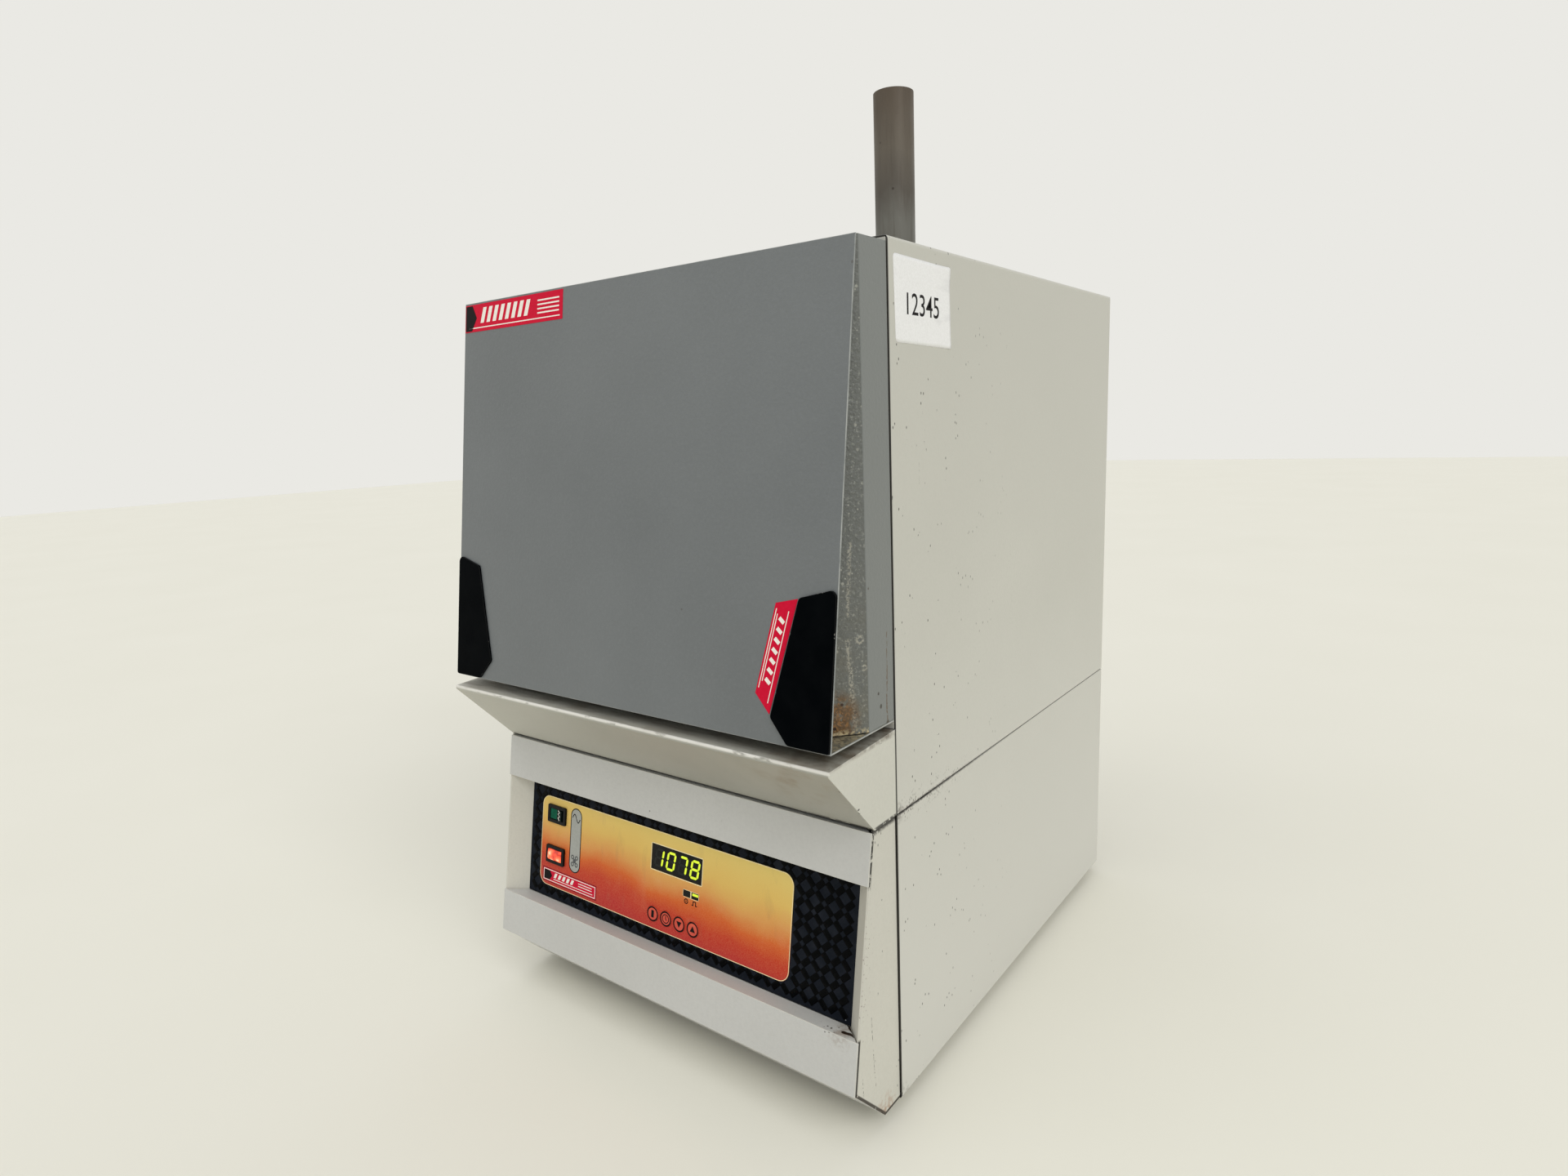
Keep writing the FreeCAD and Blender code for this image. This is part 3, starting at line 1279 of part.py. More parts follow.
def make_rear_insulation():
    """Rear block with the flue way and the hole for the temperature probe."""
    solid = block("RearBlock", f"2 * {INSULATION_HALF}", REAR_BLOCK,
                  "(insulation_top - insulation_bottom)", x=f"-{INSULATION_HALF}",
                  y=CHAMBER_REAR, z="insulation_bottom")
    way = cylinder("FlueWay", f"({FLUE_RADIUS} + fit_gap)", "insulation_top", y="chimney_setback",
                   z="flue_sump")
    port = cylinder("FluePort", "port_radius", f"(chimney_setback - {CHAMBER_REAR} + overshoot)",
                    y=f"({CHAMBER_REAR} - overshoot)", z="port_height", axis="Y")
    probe = cylinder("ProbeHole", "(probe_radius + probe_clear)", f"2 * {REAR_BLOCK}",
                     x="probe_offset", y=f"({CHAMBER_REAR} - overshoot)", z="probe_height",
                     axis="Y")
    return cut("rear_insulation", solid, joined("RearCuts", [way, port, probe]))


def make_thermocouple():
    tip = f"({CHAMBER_REAR} - probe_reach)"
    head = f"({CHAMBER_REAR} + {REAR_BLOCK} + fit_gap)"
    sheath = cylinder("ProbeSheath", "probe_radius", f"({head} - {tip} + overshoot)",
                      x="probe_offset", y=tip, z="probe_height", axis="Y")
    cap = block("ProbeHead", "2 * probe_head_half", "probe_head_length", "2 * probe_head_half",
                x="(probe_offset - probe_head_half)", y=head,
                z="(probe_height - probe_head_half)")
    return joined("thermocouple", [sheath, cap])


def make_inner_case():
    """Inner steel case: two walls that stand on the deck and a shelf under the insulation."""
    body = new_body("inner_case")
    shelf = "(insulation_bottom - sheet_gauge)"
    section = new_sketch(body, "CaseSection", "XZ_Plane", f"-{THROAT_FACE}")
    add_polygon(section, [
        (f"-{CASE_OUT}", DECK_TOP), (f"-{CASE_IN}", DECK_TOP), (f"-{CASE_IN}", shelf),
        (CASE_IN, shelf), (CASE_IN, DECK_TOP), (CASE_OUT, DECK_TOP),
        (CASE_OUT, "insulation_top"), (CASE_IN, "insulation_top"),
        (CASE_IN, "insulation_bottom"), (f"-{CASE_IN}", "insulation_bottom"),
        (f"-{CASE_IN}", "insulation_top"), (f"-{CASE_OUT}", "insulation_top"),
    ])
    grow(body, section, f"(throat_thickness + chamber_length + {REAR_BLOCK})", backwards=True)
    return body


def make_tube(label, outer, inner, low, high):
    where = {"y": "chimney_setback", "z": low}
    solid = cylinder(f"{label}_out", outer, f"({high} - {low})", **where)
    bore = cylinder(f"{label}_in", inner, f"({high} - {low})", **where)
    return cut(label, solid, bore)


def make_chimney_tube():
    return make_tube("chimney_tube", "chimney_radius", "(chimney_radius - chimney_wall)",
                     "(insulation_top + fit_gap)", "chimney_height")


def make_flue_tube():
    return make_tube("flue_tube", FLUE_RADIUS, f"({FLUE_RADIUS} - flue_wall)", "flue_seat",
                     "flue_top")


def make_collar():
    """Square plate that lies on the casing top round the chimney."""
    body = new_body("chimney_collar", y="chimney_setback", z="casing_height")
    ring = new_sketch(body, "CollarPlate", "XY_Plane")
    add_rectangle(ring, "-collar_half", "collar_half", "-collar_half", "collar_half")
    add_circle(ring, "0", "0", "(chimney_radius + fit_gap)")
    grow(body, ring, "collar_thickness")
    return body


# Electrical parts in the base

def make_power_unit():
    """Finned heat sink on the base floor with the solid state relay on top."""
    body = new_body("power_unit", x="(sink_side_gap - casing_width / 2)", y="sink_setback",
                    z="sheet_gauge")
    foot = new_sketch(body, "SinkFoot", "XZ_Plane")
    add_rectangle(foot, "-sink_width / 2", "sink_width / 2", "0", "sink_base")
    grow(body, foot, "sink_depth", backwards=True)
    fin = new_sketch(body, "SinkFin", "XZ_Plane")
    left = "(-fin_pitch * (fin_count - 1) / 2 - fin_gauge / 2)"
    add_rectangle(fin, left, f"({left} + fin_gauge)", "sink_base", "sink_height")
    blade = grow(body, fin, "sink_depth", backwards=True)
    pattern(body, blade, "X_Axis", "fin_pitch * (fin_count - 1)", "fin_count")
    relay = new_sketch(body, "RelayPlan", "XY_Plane", "sink_height")
    add_rectangle(relay, "-relay_width / 2", "relay_width / 2",
                  "(sink_depth - relay_depth) / 2", "(sink_depth + relay_depth) / 2")
    grow(body, relay, "relay_height")
    return body


def make_terminal_block():
    body = new_body("terminal_block", x="(casing_width / 2 - terminal_side_gap)",
                    y="terminal_setback", z="sheet_gauge")
    plan = new_sketch(body, "BlockPlan", "XY_Plane")
    add_rectangle(plan, "-terminal_length / 2", "terminal_length / 2", "0", "terminal_width")
    grow(body, plan, "terminal_height")
    well = new_sketch(body, "TerminalWell", "XY_Plane", "terminal_height")
    start = "(-terminal_pitch * (terminal_count - 1) / 2)"
    add_rectangle(well, f"({start} - terminal_well)", f"({start} + terminal_well)",
                  "terminal_width / 4", "terminal_width * 3 / 4")
    hole = grow(body, well, "terminal_well_depth", kind="Pocket")
    pattern(body, hole, "X_Axis", "terminal_pitch * (terminal_count - 1)", "terminal_count")
    return body


def make_all():
    """Every sub-part that becomes a node, right-hand pieces with their left-hand twins."""
    nodes = [
        make_lower_casing(), make_deck_plate(), make_upper_casing(), make_front_mask(),
        make_upper_rear_panel(), make_lower_rear_panel(), make_mains_gland(), make_feet(),
        make_rear_screws(), make_ledge(), make_undercut(),
        make_band("console_upper_band", "band_top_gap", "upper_band_width"),
        make_band("console_lower_band", f"(-{RECESS_BOTTOM})",
                  f"({CONSOLE_LENGTH} + {RECESS_BOTTOM})"),
        make_control_panel(), make_panel_overlay(), make_panel_label(), make_display_windows(),
        make_controller_module(), make_switch_case("rocker_housing", "switch_drop"),
        make_rocker_paddle(), make_heat_lamp(),
        make_door_pan(), make_door_skin(), make_door_base(), make_door_back(), make_door_block(),
        make_throat_board(), make_roof_insulation(), make_floor_insulation(), make_hearth_tile(),
        make_side_insulation(), make_element_plates(), make_heating_coils(),
        make_rear_insulation(), make_thermocouple(), make_inner_case(),
        make_chimney_tube(), make_flue_tube(), make_collar(),
        make_power_unit(), make_terminal_block(),
    ]
    for index, label in enumerate(("key_program", "key_timer", "key_down", "key_up")):
        nodes.append(make_key(index, label))
    for make_right in (make_cheek, make_grip, make_hinge, make_lower_arm, make_upper_arm,
                       make_counterweight, make_pivot_plate):
        right = make_right()
        nodes += [right, mirror(right.Label.replace("right", "left"), right)]
    return nodes


def check_document():
    doc.recompute()
    for item in doc.Objects:
        if "Invalid" in item.State or "Error" in item.State:
            raise RuntimeError(f"{item.Name} ({item.Label}): {item.State}")


def write_nodes(nodes):
    for node in nodes:
        if node.Shape.isNull() or not node.Shape.isValid():
            raise RuntimeError(f"{node.Label} has no valid shape")
    os.makedirs("parts", exist_ok=True)
    for node in nodes:
        node.Shape.exportStep(f"parts/{node.Label}.step")


all_nodes = make_all()
check_document()
write_nodes(all_nodes)
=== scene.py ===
"""Looks of a bench ashing furnace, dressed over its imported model."""
import json
import math

import bmesh
import bpy
from mathutils import Matrix, Vector

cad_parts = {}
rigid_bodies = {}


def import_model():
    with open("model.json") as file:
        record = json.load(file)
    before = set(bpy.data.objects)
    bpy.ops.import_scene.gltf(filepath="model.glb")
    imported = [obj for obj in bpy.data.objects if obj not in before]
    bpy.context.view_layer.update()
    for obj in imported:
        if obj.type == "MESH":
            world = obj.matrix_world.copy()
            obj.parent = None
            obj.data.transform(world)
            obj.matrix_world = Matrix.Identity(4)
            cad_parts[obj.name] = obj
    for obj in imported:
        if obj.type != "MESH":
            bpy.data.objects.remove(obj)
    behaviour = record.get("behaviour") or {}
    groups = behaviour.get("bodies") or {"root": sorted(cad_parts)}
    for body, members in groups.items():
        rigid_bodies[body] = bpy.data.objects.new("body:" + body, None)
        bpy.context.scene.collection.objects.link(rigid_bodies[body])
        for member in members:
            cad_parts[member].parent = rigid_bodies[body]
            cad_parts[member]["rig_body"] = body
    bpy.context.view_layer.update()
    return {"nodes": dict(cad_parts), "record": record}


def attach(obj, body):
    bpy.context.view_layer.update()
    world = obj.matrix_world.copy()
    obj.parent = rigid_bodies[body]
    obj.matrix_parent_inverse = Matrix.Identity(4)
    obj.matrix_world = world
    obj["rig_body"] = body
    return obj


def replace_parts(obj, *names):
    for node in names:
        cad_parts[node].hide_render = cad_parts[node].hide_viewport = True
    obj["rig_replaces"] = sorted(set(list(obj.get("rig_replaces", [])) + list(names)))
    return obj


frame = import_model()
nodes = frame["nodes"]
slot_of = {part["node"]: part["material_slot"] for part in frame["record"]["subparts"]}

MM = 0.001

# Planes that the printed and mounted pieces lie on, from the model's own sizes in mm
CONSOLE_TILT = math.degrees(math.atan((57.4 - 28.7) / 175.1))
SKIN_TILT = math.degrees(math.atan((75.4 - 34.6) / 300))
CONSOLE_TOP = (0, -207.75, 225)
DOOR_FOOT = (0, -254.45, 290.2)
SIDE_FACE = 187.5

# Side view of the console cheeks, the ledge and the door's skin, as (y, z) in mm
CHEEK_TOP = (-207.7, 224.8)
CHEEK_NOSE = (-236.5, 49.9)
CHEEK_FOOT = (-200.0, 11.5)
LEDGE_NOSE = (-258, 280)
LEDGE_ROOT = (-208, 225)
SKIN_TOP = (-213.7, 590.2)
SKIN_FOOT = (-254.5, 290.2)

# Places of joints and seats, in metres
CASING_SEAM = 0.2246
CASING_FRONT = -0.1791
CHIMNEY_SEAT = 0.594
CHIMNEY_TOP = 0.7976
COLLAR_MIDDLE = 0.1597
COLLAR_TOP = 0.597
COLLAR_SCREW = 0.026

# Panel, label and controls, in mm on the console's plane
LABEL_DEPTH = 13.7
RECESS_DEPTH = 14.0
LABEL = (-157.0, -130.5, 117.5, -51.5)
LABEL_CORNER = 9.0
OVERLAY = (-171.0, -140.9, 171.0, -37.5)
DISPLAY = (-21.85, -82.8, 31.65, -62.5)
LIGHTS = (13.7, -95.3, 29.5, -90.4)
KEY_NAMES = ("key_program", "key_timer", "key_down", "key_up")
KEY_FIRST = -17.1
KEY_PITCH = 14.27
KEY_UP = -118.6
KEY_DEPTH = 13.1
SWITCH_MIDDLE = -136.6
ROCKER_UP = -65.75
ROCKER_DIP = 12.163
ROCKER_ANGLE = 10.0


def slope_plane(origin, tilt):
    """Frame in mm whose X runs right, Y up a face that leans back by tilt, and Z out of it."""
    place = Matrix.Translation(Vector(origin)) @ Matrix.Rotation(math.radians(90 - tilt), 4, "X")
    return Matrix.Scale(MM, 4) @ place


CONSOLE = slope_plane(CONSOLE_TOP, CONSOLE_TILT)
DOOR = slope_plane(DOOR_FOOT, SKIN_TILT)
SIDE = Matrix.Scale(MM, 4) @ Matrix(((0, 0, 1, SIDE_FACE), (1, 0, 0, 0), (0, 1, 0, 0),
                                     (0, 0, 0, 1)))


def at_console(x, y, lift=0.0):
    """Point of the console's face in mm of the part's frame."""
    return CONSOLE @ Vector((x, y, lift)) / MM


# Node helpers

def srgb(red, green, blue):
    """Linear colour of one written from 0 to 255."""
    def linear(level):
        level /= 255
        return level / 12.92 if level <= 0.04045 else ((level + 0.055) / 1.055) ** 2.4
    return (linear(red), linear(green), linear(blue), 1.0)


def add_node(tree, kind, inputs, settings):
    """New node with its settings; inputs are numbers, or outputs of other nodes."""
    node = tree.nodes.new(kind)
    for name, value in settings.items():
        setattr(node, name, value)
    for name, value in inputs.items():
        if isinstance(value, bpy.types.NodeSocket):
            tree.links.new(value, node.inputs[name])
        else:
            node.inputs[name].default_value = value
    return node


class Finish:
    """A material and the patterns that it is put together from."""

    def __init__(self, name, roughness=0.5, metallic=0.0, specular=0.5):
        self.material = bpy.data.materials.new(name)
        self.material.use_nodes = True
        self.tree = self.material.node_tree
        self.shader = next(n for n in self.tree.nodes if n.type == "BSDF_PRINCIPLED")
        self.shader.inputs["Roughness"].default_value = roughness
        self.shader.inputs["Metallic"].default_value = metallic
        self.shader.inputs["Specular IOR Level"].default_value = specular
        self.here = self.add("ShaderNodeTexCoord", {}).outputs["Object"]
        self.normal = None

    def add(self, kind, inputs, **settings):
        return add_node(self.tree, kind, inputs, settings)

    def on(self, plane):
        """Coordinates in mm on one of the planes."""
        place, turn, scale = plane.decompose()
        node = self.add("ShaderNodeMapping", {
            "Vector": self.here, "Location": place, "Rotation": turn.to_euler(), "Scale": scale,
        }, vector_type="TEXTURE")
        return node.outputs["Vector"]

    def drawn_out(self, x=1.0, y=1.0, z=1.0):
        """Coordinates that stretch a pattern along the axes given more than 1."""
        node = self.add("ShaderNodeMapping", {
            "Vector": self.here, "Scale": (1 / x, 1 / y, 1 / z)})
        return node.outputs["Vector"]

    def noise(self, size, detail=3.0, where=None, rough=0.55):
        """Cloudy pattern from 0 to 1 with blotches of about that size in metres."""
        node = self.add("ShaderNodeTexNoise", {
            "Vector": where or self.here, "Scale": 1 / size, "Detail": detail,
            "Roughness": rough})
        return node.outputs["Fac"]

    def specks(self, apart, reach, where=None, flat=False):
        """Dots of about that reach, scattered about that far apart, both in metres."""
        node = self.add("ShaderNodeTexVoronoi", {
            "Vector": where or self.here, "Scale": 1 / apart},
            voronoi_dimensions="2D" if flat else "3D")
        return self.span(node.outputs["Distance"], 1.3 * reach / apart, 0.8 * reach / apart)

    def on_walls(self, run=1.0):
        """Coordinates along a wall and up it, the second drawn out for upright marks."""
        x, y, z = (self.axis(name) for name in "XYZ")
        node = self.add("ShaderNodeCombineXYZ", {
            "X": self.maths("ADD", x, y), "Y": self.maths("DIVIDE", z, run)})
        return node.outputs[0]

    def span(self, value, low, high, start=0.0, end=1.0):
        """Goes from start to end while the value goes from low to high."""
        node = self.add("ShaderNodeMapRange", {
            "Value": value, "From Min": low, "From Max": high, "To Min": start, "To Max": end})
        return node.outputs["Result"]

    def maths(self, operation, first, second=0.0):
        node = self.add("ShaderNodeMath", {0: first, 1: second}, operation=operation)
        return node.outputs[0]

    def times(self, first, *others):
        """Product of several masks."""
        for other in others:
            first = self.maths("MULTIPLY", first, other)
        return first

    def band(self, value, centre, half, soft):
        """1 within half of the centre, falling to 0 over the soft distance beyond."""
        apart = self.maths("ABSOLUTE", self.maths("SUBTRACT", value, centre))
        return self.span(apart, half + soft, half)

    def beyond(self, start, end):
        """How far a point lies behind a line through two (y, z) places in mm of the side view."""
        run = (Vector(end) - Vector(start)).normalized()
        y = self.maths("SUBTRACT", self.axis("Y"), start[0] * MM)
        z = self.maths("SUBTRACT", self.axis("Z"), start[1] * MM)
        return self.maths("SUBTRACT", self.maths("MULTIPLY", z, run[0]),
                          self.maths("MULTIPLY", y, run[1]))

    def mixed(self, factor, first, second):
        """Colour that goes from the first to the second."""
        node = self.add("ShaderNodeMix", {0: factor, 6: first, 7: second}, data_type="RGBA")
        return node.outputs[2]

    def near(self, point, reach, where=None):
        """1 at a point in mm of the part's frame, falling to 0 at that reach in mm."""
        apart = self.add("ShaderNodeVectorMath", {
            0: where or self.here, 1: Vector(point) * MM}, operation="DISTANCE")
        return self.span(apart.outputs["Value"], reach * MM, 0.0)

    def unsteady(self, size, reach):
        """Coordinates that waver by about that reach in mm, in waves of that size in mm."""
        cloud = self.add("ShaderNodeTexNoise", {
            "Vector": self.here, "Scale": 1 / (size * MM), "Detail": 2.0})
        moved = self.add("ShaderNodeVectorMath", {
            0: cloud.outputs["Color"], 1: (4 * reach * MM,) * 3, 2: self.here},
            operation="MULTIPLY_ADD")
        back = self.add("ShaderNodeVectorMath", {
            0: moved.outputs[0], 1: (-2 * reach * MM,) * 3}, operation="ADD")
        return back.outputs[0]

    def streak(self, start, end, half, soft, where=None):
        """1 along a straight line between two places in mm, falling to 0 beside it."""
        start, run = Vector(start) * MM, (Vector(end) - Vector(start)) * MM
        off = self.add("ShaderNodeVectorMath", {0: where or self.here, 1: start},
                       operation="SUBTRACT").outputs[0]
        along = self.add("ShaderNodeVectorMath", {0: off, 1: run}, operation="DOT_PRODUCT")
        part = self.span(along.outputs["Value"], 0.0, run.length_squared)
        foot = self.add("ShaderNodeVectorMath", {0: run, "Scale": part}, operation="SCALE")
        apart = self.add("ShaderNodeVectorMath", {0: off, 1: foot.outputs[0]},
                         operation="DISTANCE")
        return self.span(apart.outputs["Value"], (half + soft) * MM, half * MM)

    def most(self, first, *others):
        """Largest of several masks."""
        for other in others:
            first = self.maths("MAXIMUM", first, other)
        return first

    def axis(self, name, where=None):
        node = self.add("ShaderNodeSeparateXYZ", {"Vector": where or self.here})
        return node.outputs[name]

    def ramp(self, value, stops):
        """Colour along a row of (place, colour) stops."""
        node = self.add("ShaderNodeValToRGB", {"Fac": value})
        row = node.color_ramp.elements
        while len(row) < len(stops):
            row.new(0.5)
        for element, (place, colour) in zip(row, stops):
            element.position = place
            element.color = colour
        return node.outputs["Color"]

    def colour(self, value):
        if isinstance(value, bpy.types.NodeSocket):
            self.tree.links.new(value, self.shader.inputs["Base Color"])
        else:
            self.shader.inputs["Base Color"].default_value = value

    def roughness(self, value):
        self.tree.links.new(value, self.shader.inputs["Roughness"])

    def bump(self, height, depth, strength=1.0):
        """Relief of that depth in metres, over what relief there already is."""
        inputs = {"Height": height, "Distance": depth, "Strength": strength}
        if self.normal is not None:
            inputs["Normal"] = self.normal
        self.normal = self.add("ShaderNodeBump", inputs).outputs["Normal"]
        self.tree.links.new(self.normal, self.shader.inputs["Normal"])


class Growth:
    """A Geometry Nodes tree with named sizes as its inputs."""

    def __init__(self, name):
        self.tree = bpy.data.node_groups.new(name, "GeometryNodeTree")
        self.values = {}
        for way in ("INPUT", "OUTPUT"):
            self.tree.interface.new_socket("Geometry", in_out=way,
                                           socket_type="NodeSocketGeometry")
        self.start = self.tree.nodes.new("NodeGroupInput")
        self.points = self.start.outputs["Geometry"]

    def size(self, name, value):
        """Named input of the tree, with its value."""
        kind = "NodeSocketInt" if isinstance(value, int) else "NodeSocketFloat"
        socket = self.tree.interface.new_socket(name, in_out="INPUT", socket_type=kind)
        self.values[socket.identifier] = value
        return self.start.outputs[name]

    def add(self, kind, inputs, **settings):
        return add_node(self.tree, kind, inputs, settings)

    def maths(self, operation, first, second=0.0):
        node = self.add("ShaderNodeMath", {0: first, 1: second}, operation=operation)
        return node.outputs[0]

    def vector(self, x=0.0, y=0.0, z=0.0):
        return self.add("ShaderNodeCombineXYZ", {"X": x, "Y": y, "Z": z}).outputs[0]

    def grown(self, name, geometry, finish, points=()):
        """Runs the tree on a row of points and returns the result as a plain object."""
        real = self.add("GeometryNodeRealizeInstances", {"Geometry": geometry})
        paint = self.add("GeometryNodeSetMaterial", {
            "Geometry": real.outputs[0], "Material": finish.material})
        self.tree.links.new(paint.outputs[0],
                            self.tree.nodes.new("NodeGroupOutput").inputs["Geometry"])
        mesh = bpy.data.meshes.new(name)
        mesh.from_pydata([Vector(point) for point in points], [], [])
        thing = settled(name, mesh)
        modifier = thing.modifiers.new("growth", "NODES")
        modifier.node_group = self.tree
        for identifier, value in self.values.items():
            modifier[identifier] = value
        freeze(thing)
        return thing


# Mesh helpers

def settled(name, mesh):
    """Object at the origin for a mesh in the part's frame."""
    thing = bpy.data.objects.new(name, mesh)
    bpy.context.scene.collection.objects.link(thing)
    return thing


def freeze(thing):
    """Works the modifiers into the object's mesh."""
    graph = bpy.context.evaluated_depsgraph_get()
    mesh = bpy.data.meshes.new_from_object(thing.evaluated_get(graph),
                                           preserve_all_data_layers=True, depsgraph=graph)
    thing.modifiers.clear()
    thing.data = mesh


def tidied(mesh, whole=False):
    """Merges doubled points and turns all faces outwards; whole joins triangles in one plane."""
    shape = bmesh.new()
    shape.from_mesh(mesh)
    bmesh.ops.remove_doubles(shape, verts=shape.verts, dist=1e-6)
    if whole:
        bmesh.ops.dissolve_limit(shape, angle_limit=math.radians(1), verts=shape.verts,
                                 edges=shape.edges)
    bmesh.ops.recalc_face_normals(shape, faces=shape.faces)
    shape.to_mesh(mesh)
    shape.free()
    return mesh


def smoothed(thing, sharp=None):
    """Lets the light run over the faces, up to edges sharper than an angle."""
    for face in thing.data.polygons:
        face.use_smooth = True
    if sharp is not None:
        thing.data.set_sharp_from_angle(angle=math.radians(sharp))


def soften(thing, width, angle=30.0, edge_slot=None):
    """Rounds the edges a little, and keeps the large faces flat in the light."""
    smoothed(thing)
    bevel = thing.modifiers.new("round", "BEVEL")
    bevel.width = width * MM
    bevel.segments = 2
    bevel.angle_limit = math.radians(angle)
    if edge_slot is not None:
        bevel.material = edge_slot
    thing.modifiers.new("flat", "WEIGHTED_NORMAL")
    freeze(thing)


def finish_piece(thing, body, finishes, stands_for=()):
    """Gives a piece its materials and says what it rides on and stands for."""
    for place, finish in enumerate(finishes):
        if place < len(thing.data.materials):
            thing.data.materials[place] = finish.material
        else:
            thing.data.materials.append(finish.material)
    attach(thing, body)
    if stands_for:
        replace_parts(thing, *stands_for)
    return thing


def turned(name, profile, steps, place, notch=0.0):
    """Object turned about its axis from a closed row of (radius, height, ribbed) points in mm.

    Points that are marked as ribbed lie deeper by the notch at every second pair of steps.
    """
    points, faces = [], []
    rows = len(profile)
    for step in range(steps):
        angle = 2 * math.pi * step / steps
        depth = notch if step % 4 > 1 else 0.0
        for radius, height, ribbed in profile:
            radius -= depth * ribbed
            points.append((radius * math.cos(angle), radius * math.sin(angle), height))
        for row in range(rows):
            after, upper = (step + 1) % steps, (row + 1) % rows
            faces.append((step * rows + row, after * rows + row,
                          after * rows + upper, step * rows + upper))
    mesh = bpy.data.meshes.new(name)
    mesh.from_pydata(points, [], faces)
    mesh.transform(place)
    return settled(name, tidied(mesh))


def cad_copy(node):
    """The node's mesh with its triangles joined into whole faces again."""
    mesh = tidied(nodes[node].data.copy(), whole=True)
    for name in ("custom_normal", "sharp_edge", "sharp_face"):
        if name in mesh.attributes:
            mesh.attributes.remove(mesh.attributes[name])
    mesh.materials.clear()
    return mesh


def dress(node, finish, width=0.35, angle=30.0, edge=None):
    """Softened copy of a CAD node, in its own finish, that stands for the node."""
    thing = settled(node + "_shell", cad_copy(node))
    finishes = [finish] + ([edge] if edge else [])
    for each in finishes:
        thing.data.materials.append(each.material)
    soften(thing, width, angle, 1 if edge else None)
    return finish_piece(thing, nodes[node]["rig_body"], finishes, (node,))


def islands(mesh):
    """Face numbers of each loose part of a mesh."""
    shape = bmesh.new()
    shape.from_mesh(mesh)
    left = set(shape.faces)
    found = []
    while left:
        part, row = set(), [left.pop()]
        while row:
            face = row.pop()
            part.add(face.index)
            for edge in face.edges:
                for other in edge.link_faces:
                    if other in left:
                        left.remove(other)
                        row.append(other)
        found.append(part)
    shape.free()
    return found


# Outlines in mm

def box_outline(left, low, right, high):
    return [(left, low), (right, low), (right, high), (left, high)]


def round_outline(left, low, right, high, radius, steps=6):
    """Rectangle with rounded corners."""
    corners = ((right - radius, high - radius, 0), (left + radius, high - radius, 90),
               (left + radius, low + radius, 180), (right - radius, low + radius, 270))
    outline = []
    for x, y, start in corners:
        for step in range(steps + 1):
            angle = math.radians(start + 90 * step / steps)
            outline.append((x + radius * math.cos(angle), y + radius * math.sin(angle)))
    return outline


def disc_outline(x, y, radius, steps=32):
    return [(x + radius * math.cos(2 * math.pi * step / steps),
             y + radius * math.sin(2 * math.pi * step / steps)) for step in range(steps)]


def stroke(points, width):
    """Outline of a line of that width through the points."""
    left, right = [], []
    for index, (x, y) in enumerate(points):
        before = points[max(index - 1, 0)]
        after = points[min(index + 1, len(points) - 1)]
        run = Vector((after[0] - before[0], after[1] - before[1])).normalized() * width / 2
        left.append((x - run.y, y + run.x))
        right.append((x + run.y, y - run.x))
    return left + right[::-1]


def eased(points, radius, steps=4):
    """Closed outline with its corners rounded off."""
    outline = []
    for index, corner in enumerate(Vector(point) for point in points):
        before, after = Vector(points[index - 1]), Vector(points[(index + 1) % len(points)])
        start = corner + (before - corner).normalized() * radius
        end = corner + (after - corner).normalized() * radius
        for step in range(steps + 1):
            t = step / steps
            outline.append(tuple(start * (1 - t) ** 2 + corner * 2 * t * (1 - t) + end * t ** 2))
    return outline


def inset(outline_maker, gap, left, low, right, high, *rest):
    """The same outline a gap further in."""
    return outline_maker(left + gap, low + gap, right - gap, high - gap, *rest)


def cut_sheet(name, outlines, thickness, plane, lift):
    """Mesh of a thin flat piece from closed outlines, where an inner outline is a hole."""
    curve = bpy.data.curves.new(name, "CURVE")
    curve.dimensions = "2D"
    curve.fill_mode = "BOTH"
    curve.extrude = thickness / 2
    for outline in outlines:
        line = curve.splines.new("POLY")
        line.points.add(len(outline) - 1)
        for point, (x, y) in zip(line.points, outline):
            point.co = (x, y, 0, 1)
        line.use_cyclic_u = True
    holder = settled(name + "_drawing", curve)
    graph = bpy.context.evaluated_depsgraph_get()
    mesh = bpy.data.meshes.new_from_object(holder.evaluated_get(graph))
    bpy.data.objects.remove(holder)
    bpy.data.curves.remove(curve)
    mesh.transform(plane @ Matrix.Translation((0, 0, lift + thickness / 2)))
    mesh.materials.clear()
    return tidied(mesh)


def plate(name, outlines, thickness, plane, lift, finish, body="furnace"):
    """Thin flat piece in one finish, such as a print or a badge."""
    mesh = cut_sheet(name, outlines, thickness, plane, lift)
    return finish_piece(settled(name, mesh), body, [finish])


# Finishes

GRIME = srgb(66, 56, 44)
# Near black: real soot, specks and nicks in some marks, and painted shade in the gaps between parts
# in others.
SOOT_AND_GAP_SHADE = srgb(30, 27, 23)


def shade(tone, step):
    """The tone, written from 0 to 255, made lighter or darker by a step."""
    return srgb(*(min(255, max(0, level + step)) for level in tone))


def stoved(name, tone, roughness=0.44, grain=0.0011, depth=0.00006):
    """Stoved paint on sheet steel, with a fine grain and faint clouds."""
    finish = Finish(name, roughness, specular=0.35)
    cloud = finish.noise(0.14, 3)
    colour = finish.mixed(finish.span(cloud, 0.3, 0.7), shade(tone, -3), shade(tone, 3))
    fleck = finish.noise(grain * 1.7, 2)
    colour = finish.mixed(finish.span(fleck, 0.4, 0.75, 0.0, 0.3), colour, shade(tone, -13))
    finish.roughness(finish.span(cloud, 0.2, 0.8, roughness - 0.05, roughness + 0.06))
    finish.bump(finish.noise(grain, 2), depth)
    return finish, colour


